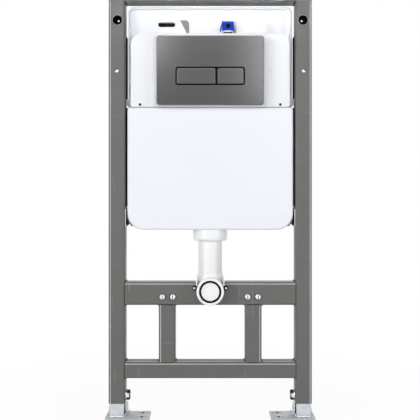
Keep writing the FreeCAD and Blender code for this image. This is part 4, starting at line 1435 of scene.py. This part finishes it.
@dataclass
class Cistern:
    """The white cistern with its cover, shaft and fittings, its mould seam, and black and grey pieces about
    it that paint shade and the hood's shadow.
    """

    half_width: float = 200.0 * MM
    seam_y: float = 60.0 * MM
    seam_width: float = 1.6 * MM
    seam_rise: float = 0.5 * MM
    bottom_corner: float = 40.0 * MM
    top_corner: float = 14.0 * MM
    # The black strips in the gaps beside the posts, painted shade.
    strip_front: float = 26.0 * MM
    strip_back: float = 46.0 * MM
    strip_runs: tuple[PadRun, ...] = (PadRun(0.512, 0.752, 5.0 * MM), PadRun(0.775, 0.926, 1.5 * MM))
    # Where the hood's painted shadow lies, and how its upper corners are rounded.
    gasket_low: Place = (-0.140, 0.0340, 0.9313)
    gasket_high: Place = (-0.052, 0.0360, 0.9690)
    gasket_corner: float = 9.0 * MM
    corner_steps: int = 12
    gasket_steps: int = 6
    screw_x: float = 169.0 * MM
    screw_z: float = 757.2 * MM
    screw_radius: float = 3.2 * MM
    socket_radius: float = 0.5 * MM
    screw_head: float = 0.7 * MM
    screw_length: float = 2.0 * MM
    pad_depth: float = 3.0 * MM
    pad_margin: float = 3.0 * MM
    pad_groove: float = 0.8 * MM
    lining_wall: float = 0.6 * MM
    lining_corners: int = 32

    def dress(self) -> None:
        """Coat the mouldings, the valve and its washer."""
        dress_nodes(["cistern"], Finishes.CISTERN_WHITE)
        dress_nodes(["front_panel", "access_shaft", "slotted_hood", "inlet_housing"], Finishes.PANEL_WHITE)
        dress_nodes(["inlet_nut"], Finishes.PIPE_WHITE)
        dress_nodes(["inlet_valve"], Finishes.VALVE_BLUE)
        dress_nodes(["inlet_washer"], Finishes.SEAL_BLACK)

    def seam(self) -> None:
        """Run the mould seam round the cistern: a rounded cube, opened to a band and thickened."""
        low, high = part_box("cistern")
        clear_selection()
        middle_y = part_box("left_post")[0].y + self.seam_y
        bpy.ops.mesh.primitive_cube_add(size=1, location=(0, middle_y, (low.z + high.z) / 2),
                                        scale=(2 * self.half_width, self.seam_width, high.z - low.z))
        piece = start_shaping("cistern_seam")
        for height, radius in ((low.z, self.bottom_corner), (high.z, self.top_corner)):
            pick_edges(piece, lambda a, b: abs(a.y - b.y) > self.seam_width / 2 and abs(a.z - height) < MM)
            bpy.ops.mesh.bevel(offset=radius, segments=self.corner_steps)
        pick_faces(piece, lambda centre, normal: abs(normal.y) > 0.9)
        bpy.ops.mesh.delete(type="FACE")
        end_shaping(piece, 30.0)
        wall = piece.modifiers.new("rise", "SOLIDIFY")
        wall.thickness = 2 * self.seam_rise
        wall.offset = 0.0
        bpy.ops.object.modifier_apply(modifier=wall.name)
        hand_over(piece, "frame", Finishes.CISTERN_WHITE)

    def isolating_strips(self, side: Side) -> None:
        """Lay black strips in the gap between the cistern and a post, painted shade, in two runs, above and
        below the cistern's lug.

        Args:
            side: Which post.
        """
        low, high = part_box(side.word + "_post")
        face = low.x if side is Side.RIGHT else high.x
        deep = (low.y + self.strip_front, low.y + self.strip_back)
        runs = []
        for run in self.strip_runs:
            far = face - side.value * run.reach
            runs.append(grooved_pad("strip_run", (face, far), deep, (run.bottom, run.top), SOFT_GROOVE))
        hand_over(join_pieces(runs, side.word + "_isolating_strip"), "frame", Finishes.SEAL_BLACK)

    def hood_pad(self) -> None:
        """Set a black pad on the cistern's front, behind the slot of the hood: painted shade that darkens
        the slot.
        """
        slot = record_row(frame["record"]["physics"]["openings"], "hood_slot")
        low, high = (Vector(corner) for corner in slot["box_m"])
        margin = self.pad_margin
        piece = grooved_pad("hood_pad", (low.x - margin, high.x + margin),
                            (high.y, high.y + self.pad_depth),
                            (low.z - margin, high.z + margin), self.pad_groove)
        hand_over(piece, "frame", Finishes.CARRIER_BLACK)

    def hood_gasket(self) -> None:
        """Lay a grey piece beside the hood as the hood's painted shadow: a cube with its upper corners
        rounded.
        """
        shift = Vector((0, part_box("left_post")[0].y, 0))
        low = Vector(self.gasket_low) + shift
        high = Vector(self.gasket_high) + shift
        clear_selection()
        bpy.ops.mesh.primitive_cube_add(size=1, location=(low + high) / 2, scale=high - low)
        piece = start_shaping("hood_gasket")
        pick_edges(piece, lambda a, b: abs(a.y - b.y) > MM and a.z > high.z - MM)
        bpy.ops.mesh.bevel(offset=self.gasket_corner, segments=self.gasket_steps)
        hand_over(end_shaping(piece), "frame", Finishes.HOOD_SHADOW_GREY)

    def panel_screws(self) -> None:
        """Set two black socket screws in the holes at the lower corners of the panel."""
        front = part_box("front_panel")[0].y - self.screw_head
        places = [(side.value * self.screw_x, front, self.screw_z) for side in Side]
        screw = FlatRing(self.socket_radius, self.screw_radius, self.screw_length)
        hand_over(screw.set_at(places, "panel_screws"), "frame", Finishes.CLIP_BLACK)

    def valve_lining(self) -> None:
        """Line the valve's bore in black, painted shade in the bore: a cylinder whose front is inset and
        pushed in to leave a cup.
        """
        inlet = record_row(frame["record"]["mounts"], "water_inlet")
        radius = inlet["dims"]["r_mm"] * MM
        length = inlet["dims"]["length_mm"] * MM
        place = Vector(inlet["pos_m"])
        clear_selection()
        bpy.ops.mesh.primitive_cylinder_add(vertices=self.lining_corners, radius=radius,
                                            depth=length - 2 * self.lining_wall, location=place,
                                            rotation=(math.pi / 2, 0, 0))
        piece = start_shaping("valve_lining")
        pick_faces(piece, lambda centre, normal: normal.y < -0.9)
        bpy.ops.mesh.inset(thickness=self.lining_wall)
        bpy.ops.mesh.extrude_region_move(
            TRANSFORM_OT_translate={"value": (0, length - 4 * self.lining_wall, 0)})
        end_shaping(piece)
        hand_over(piece, "frame", Finishes.CARRIER_BLACK)

    def build(self) -> None:
        """Add the seam, the black strips and the hood's black pad as painted shade, the hood's grey painted
        shadow, the panel's screws and the valve's black lining, also painted shade.
        """
        self.seam()
        for side in Side:
            self.isolating_strips(side)
        self.hood_pad()
        self.hood_gasket()
        self.panel_screws()
        self.valve_lining()


@dataclass
class FlushControl:
    """The brushed plate, its two buttons and the carrier behind them."""

    def dress(self) -> None:
        """Coat the plate, the buttons and the carrier."""
        dress_nodes(["flush_plate"], Finishes.PLATE_GREY)
        dress_nodes(["full_flush_button", "half_flush_button"], Finishes.BUTTON_GREY)
        dress_nodes(["button_carrier"], Finishes.CARRIER_BLACK)


@dataclass
class FlushBend:
    """The outlet under the cistern: collar, pipe, bend, seal and plug, and the clip that holds it."""

    ring_radius: float = 14.0 * MM
    ring_width: float = 1.6 * MM
    ring_rise: float = 0.6 * MM

    def dress(self) -> None:
        """Coat the white pieces, the seal, the clip and its screws."""
        dress_nodes(["outlet_collar", "flush_pipe", "outlet_elbow", "outlet_plug"], Finishes.PIPE_WHITE)
        dress_nodes(["outlet_seal"], Finishes.SEAL_BLACK)
        dress_nodes(["pipe_clip"], Finishes.CLIP_BLACK)
        dress_nodes(["clip_screws"], Finishes.ZINC)

    def build(self) -> None:
        """Raise a ring on the face of the plug."""
        low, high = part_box("outlet_plug")
        ring = RolledRim(self.ring_radius, self.ring_width, self.ring_rise).model()
        ring.data.transform(Matrix.Translation(((low.x + high.x) / 2, low.y, (low.z + high.z) / 2)))
        ring.name = "plug_ring"
        hand_over(ring, "frame", Finishes.PIPE_WHITE)


# Studio
@dataclass(frozen=True)
class SoftBox:
    """A studio light behind a flat diffuser, with its power in watts and its spread in radians."""

    name: str
    place: Place
    aim: Place
    width: float
    height: float
    power: float
    spread: float = math.pi

    def hang(self) -> None:
        """Add the light and turn it to its aim."""
        lamp = bpy.data.lights.new(self.name, "AREA")
        lamp.shape = "RECTANGLE"
        lamp.size = self.width
        lamp.size_y = self.height
        lamp.energy = self.power
        lamp.spread = self.spread
        holder = bpy.data.objects.new(self.name, lamp)
        holder.location = self.place
        holder.rotation_euler = (Vector(self.aim) - Vector(self.place)).to_track_quat("-Z", "Y").to_euler()
        holder.visible_camera = False
        bpy.context.scene.collection.objects.link(holder)


MIDDLE: Place = (0.0, 0.0, 0.6)


@dataclass
class Studio:
    """The pale floor, the white surround, the soft lights and the camera at the photograph's place."""

    ambient: float = 0.1
    ambient_colour: Colour = (0.97, 0.985, 1.0)
    floor_size: float = 14.0
    floor_gap: float = 0.5 * MM
    floor_colour: Colour = (0.93, 0.93, 0.93)
    glow_near: float = 0.94
    glow_reach: Span = (0.3, 0.9)
    camera_place: Place = (0.0, -1.5876, 0.503)
    sensor: float = 36.0
    lens: float = 55.65
    shift_x: float = -0.0005
    soft_boxes: tuple[SoftBox, ...] = (
        SoftBox("key_left", (-2.9, -3.1, 1.2), MIDDLE, 1.2, 1.8, 66.0),
        SoftBox("fill_right", (1.75, -1.75, 0.85), MIDDLE, 0.3, 1.0, 13.0),
        SoftBox("strip_left", (-0.75, -1.95, 0.6), MIDDLE, 0.4, 1.2, 1.6),
        SoftBox("strip_right", (0.75, -1.95, 0.6), MIDDLE, 0.4, 1.2, 1.6),
        SoftBox("front_left", (-0.43, -1.95, 1.6), MIDDLE, 0.3, 0.6, 4.0),
        SoftBox("front_right", (0.43, -1.95, 1.45), MIDDLE, 0.4, 0.8, 4.2),
        SoftBox("front_top", (0.0, -1.95, 1.85), MIDDLE, 0.6, 0.35, 3.2),
        SoftBox("recess_front", (0.0, -1.95, 0.8), (0.0, 0.06, 1.03), 0.6, 0.05, 0.095, math.radians(8.0)),
        SoftBox("overhead", (0.0, -0.3, 3.2), (0.0, -0.1, 0.6), 1.3, 1.15, 12.0),
        SoftBox("back_left", (-1.5, 1.9, 2.0), MIDDLE, 0.9, 0.9, 18.0),
        SoftBox("back_right", (1.5, 1.9, 2.0), MIDDLE, 0.9, 0.9, 18.0),
    )

    @staticmethod
    def seen_rays(graph: Graph) -> bpy.types.NodeSocket:
        """Tell rays that show the surround, straight or in gloss or glass, from those that only light.

        Args:
            graph: The shader's graph.

        Returns:
            1 for a ray that shows the surround, otherwise 0.
        """
        rays = graph.add("LightPath")
        seen = graph.math("MAXIMUM", rays.outputs["Is Camera Ray"], rays.outputs["Is Glossy Ray"])
        return graph.math("MAXIMUM", seen, rays.outputs["Is Transmission Ray"])

    def surround(self) -> None:
        """Set a white world that lights the object at a plain level."""
        world = bpy.data.worlds.new("studio_white")
        world.use_nodes = True
        bpy.context.scene.world = world
        graph = Graph(world.node_tree)
        shown = world.node_tree.nodes["Background"]
        shown.inputs["Color"].default_value = (1.0, 1.0, 1.0, 1.0)
        shown.inputs["Strength"].default_value = 1.0
        lit = graph.add("Background")
        lit.inputs["Color"].default_value = (*self.ambient_colour, 1.0)
        lit.inputs["Strength"].default_value = self.ambient
        mix = graph.add("MixShader")
        graph.feed(mix.inputs[0], self.seen_rays(graph))
        graph.feed(mix.inputs[1], lit.outputs[0])
        graph.feed(mix.inputs[2], shown.outputs[0])
        graph.feed(world.node_tree.nodes["World Output"].inputs["Surface"], mix.outputs[0])

    def floor(self) -> None:
        """Lay a pale floor that keeps the object's shadow, each half at the level of the foot on it."""
        material = self.floor_white()
        for side in Side:
            clear_selection()
            place = (side.value * self.floor_size / 2, 0.0, CAD_BOX[0].z - self.floor_gap)
            bpy.ops.mesh.primitive_plane_add(size=self.floor_size, location=place)
            bpy.ops.object.transform_apply(location=True, rotation=True, scale=True)
            floor = bpy.context.object
            floor.name = side.word + "_studio_floor"
            floor.data.materials.append(material)
            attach(floor, side.word + "_foot")

    def floor_white(self) -> bpy.types.Material:
        """Make the floor's white, which fades into the white surround.

        Returns:
            The floor's material.
        """
        material = bpy.data.materials.new("floor_white")
        material.use_nodes = True
        graph = Graph(material.node_tree)
        material.node_tree.nodes.remove(material.node_tree.nodes["Principled BSDF"])
        matt = graph.add("BsdfDiffuse")
        matt.inputs["Color"].default_value = (*self.floor_colour, 1.0)
        glow = graph.add("Emission")
        glow.inputs["Color"].default_value = (1.0, 1.0, 1.0, 1.0)
        away = graph.add("VectorMath", operation="LENGTH")
        graph.feed(away.inputs[0], graph.add("TexCoord").outputs["Object"])
        share = graph.spread(away.outputs["Value"], *self.glow_reach, self.glow_near, 1.0)
        mix = graph.add("MixShader")
        graph.feed(mix.inputs[0], graph.math("MULTIPLY", self.seen_rays(graph), share))
        graph.feed(mix.inputs[1], matt.outputs[0])
        graph.feed(mix.inputs[2], glow.outputs[0])
        graph.feed(material.node_tree.nodes["Material Output"].inputs["Surface"], mix.outputs[0])
        return material

    def camera(self) -> None:
        """Stand the camera straight in front, as in the photograph."""
        lens = bpy.data.cameras.new("photo_camera")
        lens.sensor_width = self.sensor
        lens.lens = self.lens
        lens.shift_x = self.shift_x
        holder = bpy.data.objects.new("photo_camera", lens)
        holder.location = self.camera_place
        holder.rotation_euler = (math.pi / 2, 0.0, 0.0)
        bpy.context.scene.collection.objects.link(holder)
        bpy.context.scene.camera = holder
        bpy.context.scene.view_settings.view_transform = "Standard"

    def build(self) -> None:
        """Set up the whole studio."""
        self.surround()
        self.floor()
        for box in self.soft_boxes:
            box.hang()
        self.camera()
        LOG.info("studio ready")


def main() -> None:
    """Build and dress the sub-assemblies in order, then the studio."""
    bead = WeldBead().model()
    steel = SteelFrame()
    steel.dress()
    steel.build(bead)
    for side in Side:
        foot = Foot(side)
        foot.dress()
        foot.build(bead)
    bpy.data.objects.remove(bead)
    studs = PanStuds()
    studs.dress()
    studs.build()
    cistern = Cistern()
    cistern.dress()
    cistern.build()
    FlushControl().dress()
    bend = FlushBend()
    bend.dress()
    bend.build()
    Studio().build()


if __name__ == "__main__":
    main()
